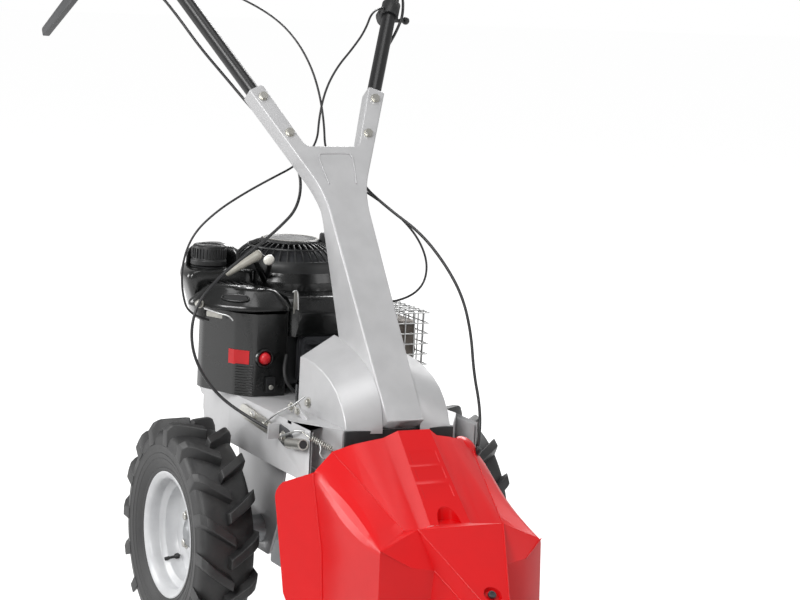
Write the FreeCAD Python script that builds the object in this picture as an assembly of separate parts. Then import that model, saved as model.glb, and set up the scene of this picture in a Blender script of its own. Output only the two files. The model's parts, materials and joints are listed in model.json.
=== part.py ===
import FreeCAD, Part
import os
from math import acos, atan2, cos, degrees, hypot, pi, radians, sin, sqrt, tan

# Two-wheel walk-behind brush mower with a double-knife cutter bar.
# Millimetres.  +Z up, -Y is the front (cutter bar), +X is the left-hand side of the operator,
# who walks behind.  Everything is built around the wheel axle (y = 0) and moved by AXLE_Y
# when it is written, so that the origin lies under the middle of the machine.

V = FreeCAD.Vector
AXLE_Y = -47.4            # from the middle of the whole length to the axle

# ---- clearances
FIT = 0.3                 # round running fits and faces on different bodies
SLIDE_GAP = 0.4           # flat sliding faces

# ---- wheels
TRACK = 505.0             # between the two tyre centre planes
TYRE_R = 207.5            # over the lugs
TYRE_W = 108.0
CARCASS_R = 189.0
TYRE_WALL = 8.0
LUGS_PER_ROW = 16
LUG_W = 21.0              # along the tread, at the lug's foot
LUG_SWEEP = 42.0          # how far a lug runs round the tyre from shoulder to middle
RIM_HALF_W = 43.0
RIM_FLANGE_R = 113.0
RIM_SEAT_R = 101.0
RIM_WELL_R = 88.0
RIM_T = 3.0
DISC_OUT = 24.0           # dish of the wheel disc, outward from the tyre's centre plane
HUB_FLANGE_R = 46.0
HUB_R = 27.0
AXLE_R = 12.5
WHEEL_BOLT_PCD = 70.0
WHEEL_BOLTS = 4
WHEEL_BOLT_R = 4.0

# ---- frame and drive
DECK_Z = 450.0            # top of the engine deck
SHEET = 4.0
DECK_FRONT_Y = -302.0
DECK_REAR_Y = 290.0
DECK_HALF_FRONT = 160.0
DECK_HALF_REAR = 132.0
SKIRT_DEPTH = 92.0
WEB_X = 112.0             # inner webs that carry the axle tubes
WEB_FOOT_Z = 168.0
AXLE_TUBE_R = 25.0
GEARBOX_HALF_W = 66.0
GEARBOX_TOP_Z = 352.0
GEARBOX_BOTTOM_Z = 128.0
INPUT_Y = -190.0          # upright input shaft of the gearbox
INPUT_PULLEY_R = 74.0
BELT_Z = 405.0
BELT_H = 8.2              # fills the grooves but for a running gap
PULLEY_H = 19.0
SHAFT_R = 10.0
IDLER_R = 15.0
IDLER_FLANGE = 3.0
IDLER_OFF = 7.5           # between the resting idler and the belt
IDLER_PIVOT = (78.0, 48.0)
IDLER_ARM = 70.0

# ---- engine
ENGINE_Y = 175.0          # crankshaft
CRANK_R = 12.5
ENGINE_PULLEY_R = 34.0
CASE_R = 92.0
CASE_TOP_Z = 556.0
ENGINE_FOOT_R = 108.0
ENGINE_BOLT_R = 98.0
CYL_HALF_W = 56.0
CYL_Z = 517.0
CYL_HALF_H = 42.0
HEAD_Y = -34.0            # front face of the cylinder head
FIN_T = 2.6
FIN_PITCH = 8.6
SHROUD_R = 117.0
SHROUD_Z0 = CYL_Z + CYL_HALF_H
SHROUD_Z1 = 664.0
SHROUD_T = 2.5
SHROUD_NOSE_HALF = 74.0
SHROUD_NOSE_Y = -18.0
SHROUD_NOSE_Z = 628.0
GRILLE_R = 108.0
GRILLE_TOP_Z = 705.0
GRILLE_DISC_R = 57.0
GRILLE_SLOTS = 34
FLYWHEEL_R = 92.0
FLYWHEEL_FINS = 18
FILTER_X = (-205.0, -76.3)
FILTER_Y = (0.0, 84.0)
FILTER_Z = (DECK_Z, 600.0)
FILTER_T = 2.5
LID_H = 42.0
LID_LIP = 9.0
TANK_X = (-238.0, -96.0)
TANK_Y = (98.0, 292.0)
TANK_Z = (572.0, 680.0)
TANK_T = 3.0
CAP_POS = (-170.0, 158.0)
CAP_R = 31.0
CAP_H = 27.0
PRIMER_X = -121.0
PRIMER_Z = 520.0
PRIMER_R = 9.0
MUFFLER_X = (92.0, 178.0)
MUFFLER_Y = (-8.0, 100.0)
MUFFLER_Z = (500.0, 582.0)
MUFFLER_T = 2.0
GUARD_GAP = 17.0
GUARD_WIRE_R = 1.3
GUARD_PITCH = 17.0
GRIP_BALL = V(-122, 62, 694)        # starter grip, end at the rope guide
GRIP_TIP = V(-178, 58, 668)
STARTER_GRIP_R = 7.5
ROPE_GUIDE_FOOT = V(-80, 100, 643)  # in the shroud's wall
ROPE_GUIDE_R = 6.0

# ---- handle column: a folded channel in a sloping plane
COLUMN_SLOPE = 52.0       # degrees from level
COLUMN_FOOT = V(0, -327, 468)
COLUMN_SHEET = 3.0
FOOT_HALF_W = 35.0
WAIST_V = 455.0
WAIST_HALF_W = 40.0
CROTCH_V = 550.0
SPLAY = 24.0              # of each arm from the column's centre line, degrees
ARM_LENGTH = 136.0        # along the arm from the crotch level to its open end
ARM_ROOT_U = 66.0         # arm centre line level with the crotch
DEEP = 104.0              # channel depth at the foot
SHALLOW = 30.0            # channel depth at the arms
HANDLE_TUBE_R = 13.0
HANDLE_TUBE_WALL = 2.0
HANDLE_BEND_V = 925.0
REAR_BEND = V(300, 628, 1208)
GRIP_TILT = 14.0          # grips point down towards the rear, degrees
GRIP_RUN = 190.0          # from the rear bend to the grip's end
GRIP_LENGTH = 132.0
LEVER_BACK = 96.0         # from the rear bend forward to the lever's clamp
LEVER_LIFT = {-1: -25.0, 1: 36.0}    # pivot below the right tube, above the left one
LEVER_REST = {-1: -31.0, 1: 17.0}    # degrees above level
LEVER_TURN = {-1: 4.2, 1: -4.2}      # outward, to lie in line with the grip
LEVER_LENGTH = 242.0
LEVER_ROOT_H = 25.0
LEVER_TIP_H = 18.0
LEVER_PIN_R = 3.0
LEVER_CHEEK = 13.0        # half width of the clamp's fork
LEVER_FORK = 4.5          # half width of the gap in the fork
GRIP_R = 16.5
ARM_BOLTS_V = (577.0, 653.0)
ARM_BOLT_R = 4.0

THROTTLE_ALONG = 343.0    # place of the throttle clamp on its tube
THROTTLE_T = 12.0
CLUTCH_PIVOT = (-64.0, 432.0)
CLUTCH_ARM = 52.0

# ---- belt cover halves beside the column
COVER_HALF_W = 100.0
COVER_FRONT_Y = -300.0
COVER_REAR_Y = -106.0
COVER_TOP_Z = 552.0
COVER_T = 2.0
COVER_GAP = 3.0           # beside the column's foot

# ---- hood
HOOD_T = 3.0
HOOD_BOTTOM_Z = 118.0
HOOD_STAY_Y = -342.0
HOOD_STAY_Z = 300.0

# ---- cutter bar
BAR_LENGTH = 870.0
BEAM_Z = 26.0
BEAM_T = 10.0
BEAM_Y = (-690.0, -600.0)
TONGUE_REAR_Y = -410.0
TONGUE_HALF_W = 112.0
KNIFE_BAR_Y = (-665.0, -645.0)
KNIFE_BAR_T = 5.0
KNIFE_T = 3.0
KNIFE_TIP_Y = -738.0
KNIFE_PITCH = 76.2
KNIFE_MARGIN = 54.0       # from the beam's end to the knife bar's
KNIFE_HALF = BAR_LENGTH / 2 - KNIFE_MARGIN
KNIFE_COUNT = int(2 * KNIFE_HALF / KNIFE_PITCH + 0.01)
HEAD_X = 60.0             # knife drive heads, left and right of the middle
HEAD_PIN_R = 7.0
HEAD_SLOT_GAP = 1.2
UPPER_PIN_Y = -654.0
LOWER_PIN_Y = -618.0
ROCKER_Y = -500.0
ROCKER_Z = 80.0
ROCKER_T = 10.0
ROCKER_HUB_R = 21.0
ROCKER_PIN_R = 10.0
ROCKER_NUT_DROP = 12.0    # from the arm down to the pin's nut
ROCKER_COLLAR_RISE = 8.0  # from the arm up to the case's collar
DRIVE_Y = -470.0
DRIVE_R = 56.0
DRIVE_Z = (104.0, 236.0)
NECK_Z = 200.0
NECK_R = 38.0
PTO_R = 11.0
SKID_W = 46.0
SKID_T = 6.0
SKID_Y = (-668.0, -470.0)


THICK_CABLE_R = 2.7
THIN_CABLE_R = 2.0
CABLE_ROUTES = {
    "drive_cable": [
        (-291, 523.9, 1178), (-282, 470, 1178), (-266, 400, 1176), (-256, 330, 1171),
        (-241, 270, 1153), (-220, 226, 1113), (-190, 192, 1062), (-150, 158, 1009),
        (-113, 118, 956), (-78, 71, 910), (-49, 34, 856), (-61, 9, 792), (-115, -16, 753),
        (-174, -31, 715), (-233, -44, 677), (-281, -50, 624), (-289, -60, 555),
        (-263, -82, 493), (-219, -117, 450), (-172, -165, 424)],
    "throttle_cable": [
        (187.6, 208.7, 1144.5), (147, 172, 1143), (118, 142, 1103), (79, 113, 1070),
        (38, 86, 1039), (3, 57, 1001), (-20, 31, 954), (-14, 47, 900), (-46, 63, 860),
        (-99, 49, 839), (-150, 51, 812), (-199, 59, 779), (-239, 68, 738), (-256, 74, 686),
        (-256, 70, 632), (-243, 64, 590), (-205.3, 60, 582)],
    "brake_cable": [
        (-275, 523.9, 1178), (-262, 480, 1179), (-237, 437, 1184), (-202, 397, 1188),
        (-155, 363, 1184), (-105, 336, 1168), (-61, 303, 1148), (-32, 257, 1127),
        (-16, 205, 1103), (-5, 158, 1071), (0, 113, 1032), (-2, 72, 990), (-4, 43, 940),
        (3, 48, 885), (39, 42, 841), (82, 15, 813), (124, -12, 782), (162, -29, 740),
        (183, -35, 690), (176, -29, 644), (136, -10, 617), (76.3, 4, 610)],
    "cutter_cable": [
        (291, 523.9, 1226), (292, 470, 1210), (279, 400, 1192), (266, 325, 1186),
        (251, 257, 1174), (228, 206, 1135), (214, 193, 1113), (198, 190, 1084), (168, 175, 1051),
        (144, 141, 1006), (131, 116, 972), (104, 80, 924), (75, 42, 873),
        (61, 22, 835), (103, -20, 791), (145, -68, 754),
        (172, -116, 705), (186, -165, 652), (183, -209, 592), (172, -246, 529),
        (164, -288, 480), (154, -313, 438), (150, -314, 388)],
}


# ------------------------------------------------------------------ helpers

def box(x0, x1, y0, y1, z0, z1):
    return Part.makeBox(x1 - x0, y1 - y0, z1 - z0, V(x0, y0, z0))


def rod(radius, start, end):
    start = V(*start)
    end = V(*end)
    return Part.makeCylinder(radius, (end - start).Length, start, end - start)


def pipe_piece(outer, inner, start, end):
    return rod(outer, start, end).cut(rod(inner, start, end))


def fuse(shapes):
    shapes = list(shapes)
    whole = shapes[0].multiFuse(shapes[1:]) if len(shapes) > 1 else shapes[0]
    return whole.removeSplitter()


def cut(shape, tools):
    tools = list(tools)
    return shape.cut(tools[0] if len(tools) == 1 else Part.makeCompound(tools))


def mirrored(shape):
    return shape.mirror(V(0, 0, 0), V(1, 0, 0))


def corner_wire(points):
    """Closed wire through points (V, radius); a radius rounds its corner with an arc."""
    cuts = []
    for i, (p, r) in enumerate(points):
        a = (points[i - 1][0] - p).normalize()
        b = (points[(i + 1) % len(points)][0] - p).normalize()
        if r <= 0:
            cuts.append((p, p, p))
            continue
        half = acos(max(-1.0, min(1.0, a.dot(b)))) / 2
        back = r / tan(half)
        middle = p + (a + b).normalize() * (r / sin(half) - r)
        cuts.append((p + a * back, middle, p + b * back))
    edges = []
    for i, (start, middle, end) in enumerate(cuts):
        if (start - end).Length > 1e-6:
            edges.append(Part.Arc(start, middle, end).toShape())
        following = cuts[(i + 1) % len(cuts)][0]
        if (following - end).Length > 1e-6:
            edges.append(Part.LineSegment(end, following).toShape())
    return Part.Wire(edges)


def in_plane(plane, a, b, c=0.0):
    if plane == "xy":
        return V(a, b, c)
    if plane == "xz":
        return V(a, c, b)
    return V(c, a, b)


def slab(plane, points, low, high):
    """Outline of (a, b) or (a, b, corner radius) in a plane, extruded across it."""
    corners = [(in_plane(plane, p[0], p[1], low), p[2] if len(p) > 2 else 0.0) for p in points]
    face = Part.Face(corner_wire(corners))
    return face.extrude(in_plane(plane, 0, 0, high - low))


def turned_x(points, x0=0.0, z0=0.0):
    """Solid of revolution round an X-wise axis from (x, r) points."""
    wire = corner_wire([(V(x0 + p[0], 0, z0 + p[1]), p[2] if len(p) > 2 else 0.0) for p in points])
    return Part.Face(wire).revolve(V(0, 0, z0), V(1, 0, 0), 360)


def turned_z(points, x0, y0):
    """Solid of revolution round an upright axis from (r, z) points."""
    wire = corner_wire([(V(x0 + p[0], y0, p[1]), p[2] if len(p) > 2 else 0.0) for p in points])
    return Part.Face(wire).revolve(V(x0, y0, 0), V(0, 0, 1), 360)


def route(points):
    """Straight runs joined by tangent arcs, as one wire; prints the arc radii."""
    points = [V(*p) for p in points]
    edges = []
    radii = []
    at = points[0]
    for before, p, after in zip(points, points[1:], points[2:]):
        a = (before - p).normalize()
        b = (after - p).normalize()
        half_turn = (pi - acos(max(-1.0, min(1.0, a.dot(b))))) / 2
        back = 0.45 * min((before - p).Length, (after - p).Length)
        radius = back / tan(half_turn)
        middle = p + (a + b).normalize() * (radius / cos(half_turn) - radius)
        edges.append(Part.LineSegment(at, p + a * back).toShape())
        edges.append(Part.Arc(p + a * back, middle, p + b * back).toShape())
        radii.append(round(radius))
        at = p + b * back
    edges.append(Part.LineSegment(at, points[-1]).toShape())
    return Part.Wire(edges), radii


def swept(points, radius, name=""):
    """Round bar along a route of straight runs and tangent arcs."""
    path, radii = route(points)
    start = V(*points[0])
    section = Part.Wire(Part.makeCircle(radius, start, V(*points[1]) - start))
    solid = Part.Solid(path.makePipeShell([section], True, True))
    expected = pi * radius * radius * path.Length
    if name:
        print(name, "radii", radii, "volume ratio", round(abs(solid.Volume) / expected, 4))
    return solid


def hexagon(radius, centre, axis, height):
    """Hexagonal prism, radius across the corners."""
    axis = V(*axis).normalize()
    side = axis.cross(V(0, 0, 1) if abs(axis.z) < 0.9 else V(1, 0, 0)).normalize()
    other = axis.cross(side)
    centre = V(*centre)
    ring = [centre + side * (radius * cos(k * pi / 3)) + other * (radius * sin(k * pi / 3))
            for k in range(7)]
    return Part.Face(Part.makePolygon(ring)).extrude(axis * height)


def bolt(radius, head_at, axis, length):
    """Hexagon bolt: head on the near side of head_at, shank along axis."""
    axis = V(*axis).normalize()
    head_at = V(*head_at)
    head = hexagon(1.9 * radius, head_at - axis * (1.3 * radius), axis, 1.3 * radius)
    return fuse([head, rod(radius, head_at, head_at + axis * length)])


def cable(name, radius):
    """Cable held at both ends, along its own route."""
    return swept(CABLE_ROUTES[name], radius, name)


def save(name, shape):
    shape = shape.copy()
    shape.translate(V(0, AXLE_Y, 0))
    shape.exportStep("parts/%s.step" % name)


# ------------------------------------------------------------------ wheels

def tyre():
    """Agricultural tyre round the X axis, its centre plane at x = 0."""
    half = TYRE_W / 2
    bead_x = RIM_HALF_W - RIM_T - FIT
    bead_r = RIM_SEAT_R + FIT
    shoulder_x = half - 7
    shoulder_r = CARCASS_R - 9
    flank_x = half - 0.5
    foot_r = RIM_FLANGE_R + 1.5
    flank_r = (foot_r + shoulder_r) / 2
    edges = []

    def arc(a, b, c):
        edges.append(Part.Arc(V(a[0], 0, a[1]), V(b[0], 0, b[1]), V(c[0], 0, c[1])).toShape())

    def line(a, b):
        edges.append(Part.LineSegment(V(a[0], 0, a[1]), V(b[0], 0, b[1])).toShape())

    lip = bead_x - TYRE_WALL - 2
    inner_r = CARCASS_R - TYRE_WALL - 3
    line((bead_x, bead_r), (bead_x, foot_r))
    arc((bead_x, foot_r), (flank_x, flank_r), (shoulder_x, shoulder_r))
    arc((shoulder_x, shoulder_r), (0, CARCASS_R), (-shoulder_x, shoulder_r))
    arc((-shoulder_x, shoulder_r), (-flank_x, flank_r), (-bead_x, foot_r))
    line((-bead_x, foot_r), (-bead_x, bead_r))
    line((-bead_x, bead_r), (-lip, bead_r))
    arc((-lip, bead_r), (TYRE_WALL - flank_x, flank_r), (9 - shoulder_x, shoulder_r - 9))
    arc((9 - shoulder_x, shoulder_r - 9), (0, inner_r), (shoulder_x - 9, shoulder_r - 9))
    arc((shoulder_x - 9, shoulder_r - 9), (flank_x - TYRE_WALL, flank_r), (lip, bead_r))
    line((lip, bead_r), (bead_x, bead_r))
    carcass = Part.Face(Part.Wire(edges)).revolve(V(0, 0, 0), V(1, 0, 0), 360)
    envelope = turned_x([(-half, 158), (-half, TYRE_R - 17), (-half + 13, TYRE_R - 1),
                         (half - 13, TYRE_R - 1), (half, TYRE_R - 17), (half, 158)])
    crown = turned_x([(-half, 100), (-half, TYRE_R), (half, TYRE_R), (half, 100)])
    envelope = envelope.common(crown)
    lugs = []
    for row in (-1, 1):
        bar = lug(row).common(envelope)
        for k in range(LUGS_PER_ROW):
            copy = bar.copy()
            turn = (k + 0.25 * (1 + row)) * 360.0 / LUGS_PER_ROW
            copy.rotate(V(0, 0, 0), V(1, 0, 0), turn)
            lugs.append(copy)
    return carcass.multiFuse(lugs)


def lug(row):
    """One slanting tread bar at the top of the tyre, tapered towards its face."""
    def plan(width, r):
        outer_x = row * (TYRE_W / 2 + 1)
        inner_x = -row * 5.0
        ring = [V(outer_x, -width * 0.62, r), V(outer_x, width * 0.62, r),
                V(inner_x, LUG_SWEEP + width / 2, r), V(inner_x, LUG_SWEEP - width / 2, r)]
        return Part.makePolygon(ring + [ring[0]])
    return Part.makeLoft([plan(LUG_W + 5, 163.0), plan(LUG_W - 5, TYRE_R + 4)], True, True)


def rim():
    flange = RIM_FLANGE_R
    seat = RIM_SEAT_R
    well = RIM_WELL_R
    half = RIM_HALF_W
    t = RIM_T
    band = turned_x([(-half, flange, 1), (-half + t, flange, 1), (-half + t, seat), (-21, seat),
                     (-15, well), (15, well), (21, seat), (half - t, seat),
                     (half - t, flange, 1), (half, flange, 1), (half, seat - t), (22.5, seat - t),
                     (16.5, well - t), (-16.5, well - t), (-22.5, seat - t), (-half, seat - t)])
    out = DISC_OUT
    disc = turned_x([(2, well - t), (4, well - t - 8, 6), (out - t, HUB_FLANGE_R + 8, 10),
                     (out - t, HUB_R + 1), (out, HUB_R + 1), (out, HUB_FLANGE_R + 10, 10),
                     (4 + t, well - t - 5, 6), (7, well - t)])
    shape = fuse([band, disc])
    holes = [ring_rod(WHEEL_BOLT_R, k) for k in range(WHEEL_BOLTS)]
    valve_hole = rod(5.0, (-10, 0, well - t - 7), (30, 0, well - t - 7))
    return fuse([cut(shape, holes + [valve_hole]), valve()])


def ring_rod(radius, k):
    angle = (k + 0.5) * 2 * pi / WHEEL_BOLTS
    y = WHEEL_BOLT_PCD / 2 * cos(angle)
    z = WHEEL_BOLT_PCD / 2 * sin(angle)
    return rod(radius, (-50, y, z), (50, y, z))


def hub():
    """Hub with its flange behind the disc, and the half shaft that it is keyed to."""
    back = DISC_OUT - RIM_T
    inner = -(TRACK / 2 - GEARBOX_HALF_W - 2 * FIT)
    flange = rod(HUB_FLANGE_R, (back - 7, 0, 0), (back, 0, 0))
    flange = cut(flange, [ring_rod(WHEEL_BOLT_R, k) for k in range(WHEEL_BOLTS)])
    barrel = rod(HUB_R, (-34, 0, 0), (DISC_OUT + 6, 0, 0))
    cap = Part.makeCone(HUB_R - 3, HUB_R - 12, 8, V(DISC_OUT + 6, 0, 0), V(1, 0, 0))
    shaft = rod(AXLE_R, (inner, 0, 0), (-34, 0, 0))
    return fuse([flange, barrel, cap, shaft])


def wheel_bolts():
    solids = []
    for k in range(WHEEL_BOLTS):
        angle = (k + 0.5) * 2 * pi / WHEEL_BOLTS
        y = WHEEL_BOLT_PCD / 2 * cos(angle)
        z = WHEEL_BOLT_PCD / 2 * sin(angle)
        solids.append(bolt(WHEEL_BOLT_R, (DISC_OUT, y, z), (-1, 0, 0), RIM_T + 7))
    return Part.makeCompound(solids)


def valve():
    z = RIM_WELL_R - RIM_T - 7
    return fuse([rod(4.7, (1, 0, z), (14, 0, z)), rod(2.6, (14, 0, z), (34, 0, z)),
                 rod(3.8, (30, 0, z), (40, 0, z))])


def place_wheel(shape, side):
    """Wheel parts are drawn with their outside towards +X."""
    shape = shape if side > 0 else mirrored(shape)
    shape = shape.copy()
    shape.translate(V(side * TRACK / 2, 0, TYRE_R))
    return shape


def save_wheels():
    parts = {"tyre": tyre(), "rim": rim(), "hub": hub(), "wheel_bolts": wheel_bolts()}
    for side, word in ((-1, "right"), (1, "left")):
        for name, shape in parts.items():
            save("%s_%s" % (name, word), place_wheel(shape, side))


# ------------------------------------------------------------------ frame

def deck_outline(inset=0.0):
    f = DECK_HALF_FRONT - inset
    r = DECK_HALF_REAR - inset
    half = [(r, DECK_REAR_Y - inset, 25), (f, 60, 60), (f, DECK_FRONT_Y + inset, 12)]
    return [(-x, y, c) for x, y, c in reversed(half)] + half


def chassis_frame():
    low = DECK_Z - SHEET
    deck = slab("xy", deck_outline(), low, DECK_Z)
    skirt = slab("xy", deck_outline(), DECK_Z - SKIRT_DEPTH, low)
    skirt = skirt.cut(slab("xy", deck_outline(SHEET), DECK_Z - SKIRT_DEPTH - 1, low))
    skirt = skirt.cut(box(-200, 200, DECK_REAR_Y - 60, 320, 0, DECK_Z - 40))
    sweep = slab("yz", [(120, 200), (320, 200), (320, DECK_Z - 30), (250, DECK_Z - 30, 30)],
                 -200, 200)
    pieces = [deck, skirt.cut(sweep)]
    for side in (-1, 1):
        x = side * WEB_X
        web = slab("yz", [(-120, low), (-70, WEB_FOOT_Z + 60, 20), (-42, WEB_FOOT_Z, 12),
                          (42, WEB_FOOT_Z, 12), (90, WEB_FOOT_Z + 90, 20), (150, low)],
                   x - SHEET / 2, x + SHEET / 2)
        pieces.append(web)
    pieces += [idler_post(), clutch_pin(), hood_stay()] + cable_brackets()
    shape = fuse(pieces)
    holes = [rod(AXLE_TUBE_R, (-200, 0, TYRE_R), (200, 0, TYRE_R)),
             rod(CRANK_R + 14, (0, ENGINE_Y, low - 1), (0, ENGINE_Y, DECK_Z + 1)),
             rod(SHAFT_R + 6, (0, INPUT_Y, low - 1), (0, INPUT_Y, DECK_Z + 1))]
    for x, y in engine_bolt_places():
        holes.append(rod(4.3, (x, y, low - 1), (x, y, DECK_Z + 1)))
    return cut(shape, holes)


def hood_stay():
    """Cross bar between the hood's cheeks, on two uprights from the front skirt."""
    z = HOOD_STAY_Z
    y = HOOD_STAY_Y
    bar = box(-230, 230, y, y + 10, z, z + SHEET)
    bar = bar.common(hood_solid(HOOD_T + FIT, HOOD_BOTTOM_Z))
    uprights = [box(x - 2, x + 2, y, DECK_FRONT_Y + SHEET, z, z + 80) for x in (-140, 140)]
    return fuse([bar] + uprights)


def cable_brackets():
    """Stops where the sheaths of the drive cable and the cutter cable end."""
    x = DECK_HALF_FRONT
    drive_y = CABLE_ROUTES["drive_cable"][-1][1] - 2.3
    cutter_z = CABLE_ROUTES["cutter_cable"][-1][2] - FIT
    return [box(-x - 24, -x, drive_y - 4, drive_y, 412, 438),
            box(138, 158, DECK_FRONT_Y - 22, DECK_FRONT_Y + 2, cutter_z - 3, cutter_z)]


def engine_bolt_places():
    return [(ENGINE_BOLT_R * cos(a), ENGINE_Y + ENGINE_BOLT_R * sin(a))
            for a in (radians(30), radians(150), radians(250))]


def engine_bolts():
    return [bolt(4.0, (x, y, DECK_Z + 8), (0, 0, -1), 8 + SHEET + 6)
            for x, y in engine_bolt_places()]


def gearbox_housing():
    """Cast case on the axle, with the axle tubes and the upright neck of the input shaft."""
    case = slab("xy", [(-GEARBOX_HALF_W, -92, 30), (GEARBOX_HALF_W, -92, 30),
                       (GEARBOX_HALF_W, 78, 30), (-GEARBOX_HALF_W, 78, 30)],
                GEARBOX_BOTTOM_Z, 268)
    nose = slab("xy", [(-46, INPUT_Y - 40, 28), (46, INPUT_Y - 40, 28), (46, -40), (-46, -40)],
                GEARBOX_BOTTOM_Z + 22, 252)
    tower = turned_z([(0, 240), (40, 240), (34, 300, 8), (30, GEARBOX_TOP_Z), (0, GEARBOX_TOP_Z)],
                     0, INPUT_Y)
    ribs = [box(-48 + 24 * k, -44 + 24 * k, INPUT_Y - 20, 60, 240, 276) for k in (0, 1, 3, 4)]
    end = TRACK / 2 - 46
    tubes = [rod(AXLE_TUBE_R, (s * (GEARBOX_HALF_W - 6), 0, TYRE_R), (s * (end - 40), 0, TYRE_R))
             for s in (-1, 1)]
    shape = fuse([case, nose, tower] + ribs + tubes)
    bores = [rod(AXLE_R + FIT, (s * (GEARBOX_HALF_W - 0), 0, TYRE_R), (s * 230, 0, TYRE_R))
             for s in (-1, 1)]
    bores.append(rod(SHAFT_R + FIT, (0, INPUT_Y, 290), (0, INPUT_Y, GEARBOX_TOP_Z + 1)))
    bores.append(rod(PTO_R + FIT, (0, INPUT_Y - 41, NECK_Z), (0, INPUT_Y - 6, NECK_Z)))
    return cut(shape, bores)


def pulley(radius, height, grip_r, x, y, z, bore):
    """V-groove pulley centred on height z."""
    low = z - height / 2
    high = z + height / 2
    flange = radius + 4
    shape = turned_z([(bore, low), (flange, low, 1), (flange, low + 3), (grip_r - 9, z - 2.5),
                      (grip_r - 9, z + 2.5), (flange, high - 3), (flange, high, 1), (bore, high)],
                     x, y)
    return shape


def crankshaft():
    z = BELT_Z - PULLEY_H / 2
    return fuse([pulley(ENGINE_PULLEY_R, PULLEY_H, ENGINE_PULLEY_R, 0, ENGINE_Y, BELT_Z, CRANK_R - 1),
                 rod(CRANK_R, (0, ENGINE_Y, z - 2), (0, ENGINE_Y, SHROUD_Z0 + 42)),
                 rod(CRANK_R + 5, (0, ENGINE_Y, z + PULLEY_H), (0, ENGINE_Y, DECK_Z - SHEET - 14)),
                 rod(CRANK_R + 3, (0, ENGINE_Y, z - 6), (0, ENGINE_Y, z - 2))])


def input_pulley():
    shape = pulley(INPUT_PULLEY_R, PULLEY_H, INPUT_PULLEY_R, 0, INPUT_Y, BELT_Z, SHAFT_R - 1)
    holes = [rod(13, (40 * cos(a), INPUT_Y + 40 * sin(a), 300),
                 (40 * cos(a), INPUT_Y + 40 * sin(a), 500)) for a in
             [k * pi / 3 for k in range(6)]]
    shaft = [rod(SHAFT_R, (0, INPUT_Y, 292), (0, INPUT_Y, BELT_Z + 22)),
             rod(SHAFT_R + 6, (0, INPUT_Y, BELT_Z + PULLEY_H / 2 - 1), (0, INPUT_Y, BELT_Z + 18))]
    return fuse([cut(shape, holes)] + shaft)


def drive_belt():
    """V-belt round the two pulleys, a little clear of their grooves."""
    small = ENGINE_PULLEY_R + 1
    large = INPUT_PULLEY_R + 1
    span = ENGINE_Y - INPUT_Y
    lean = (large - small) / span
    up = sqrt(1 - lean * lean)

    def loop(r0, r1, z):
        a = V(r0 * up, INPUT_Y + r0 * lean, z)
        b = V(r1 * up, ENGINE_Y + r1 * lean, z)
        c = V(-r1 * up, ENGINE_Y + r1 * lean, z)
        d = V(-r0 * up, INPUT_Y + r0 * lean, z)
        return Part.Face(Part.Wire([Part.LineSegment(a, b).toShape(),
                                    Part.Arc(b, V(0, ENGINE_Y + r1, z), c).toShape(),
                                    Part.LineSegment(c, d).toShape(),
                                    Part.Arc(d, V(0, INPUT_Y - r0, z), a).toShape()]))
    low = BELT_Z - BELT_H / 2
    outer = loop(large + 1.5, small + 1.5, low).extrude(V(0, 0, BELT_H))
    inner = loop(large - 3.5, small - 3.5, low - 1).extrude(V(0, 0, BELT_H + 2))
    return outer.cut(inner)


def belt_half_width(y):
    """Half the width over both runs of the belt at a place between the pulleys."""
    share = (y - INPUT_Y) / (ENGINE_Y - INPUT_Y)
    return INPUT_PULLEY_R + (ENGINE_PULLEY_R - INPUT_PULLEY_R) * share + 2.5


def idler_place():
    """Idler roller beside the belt's left-hand run, held off it at rest."""
    y = IDLER_PIVOT[1] - IDLER_ARM
    return (belt_half_width(y) + IDLER_R + IDLER_OFF, y)


def idler_arm():
    px, py = IDLER_PIVOT
    ix, iy = idler_place()
    z0 = BELT_Z + 12
    z1 = z0 + 5
    shape = fuse([rod(14, (px, py, z0), (px, py, z1)), rod(11, (ix, iy, z0), (ix, iy, z1)),
                  bar_between((px, py), (ix, iy), 16, z0, z1),
                  rod(5, (ix, iy, BELT_Z - 10), (ix, iy, z1))])
    return cut(shape, [rod(6 + FIT, (px, py, z0 - 1), (px, py, z1 + 1))])


def bar_between(a, b, width, z0, z1):
    """Flat bar between two upright axes."""
    length = hypot(b[0] - a[0], b[1] - a[1])
    shape = box(0, length, -width / 2, width / 2, z0, z1)
    shape.rotate(V(0, 0, 0), V(0, 0, 1), degrees(atan2(b[1] - a[1], b[0] - a[0])))
    shape.translate(V(a[0], a[1], 0))
    return shape


def idler_wheel():
    ix, iy = idler_place()
    flange = IDLER_R + IDLER_FLANGE
    return turned_z([(5 + FIT, BELT_Z - 8), (flange, BELT_Z - 8), (IDLER_R, BELT_Z - 5),
                     (IDLER_R, BELT_Z + 5), (flange, BELT_Z + 8), (5 + FIT, BELT_Z + 8)], ix, iy)


def idler_post():
    """Pivot post under the deck, with the collar that the idler arm rests on."""
    px, py = IDLER_PIVOT
    return fuse([rod(6, (px, py, BELT_Z + 4), (px, py, DECK_Z - SHEET + 1)),
                 rod(10, (px, py, BELT_Z + 7), (px, py, BELT_Z + 12 - FIT))])


# ------------------------------------------------------------------ engine

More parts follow.
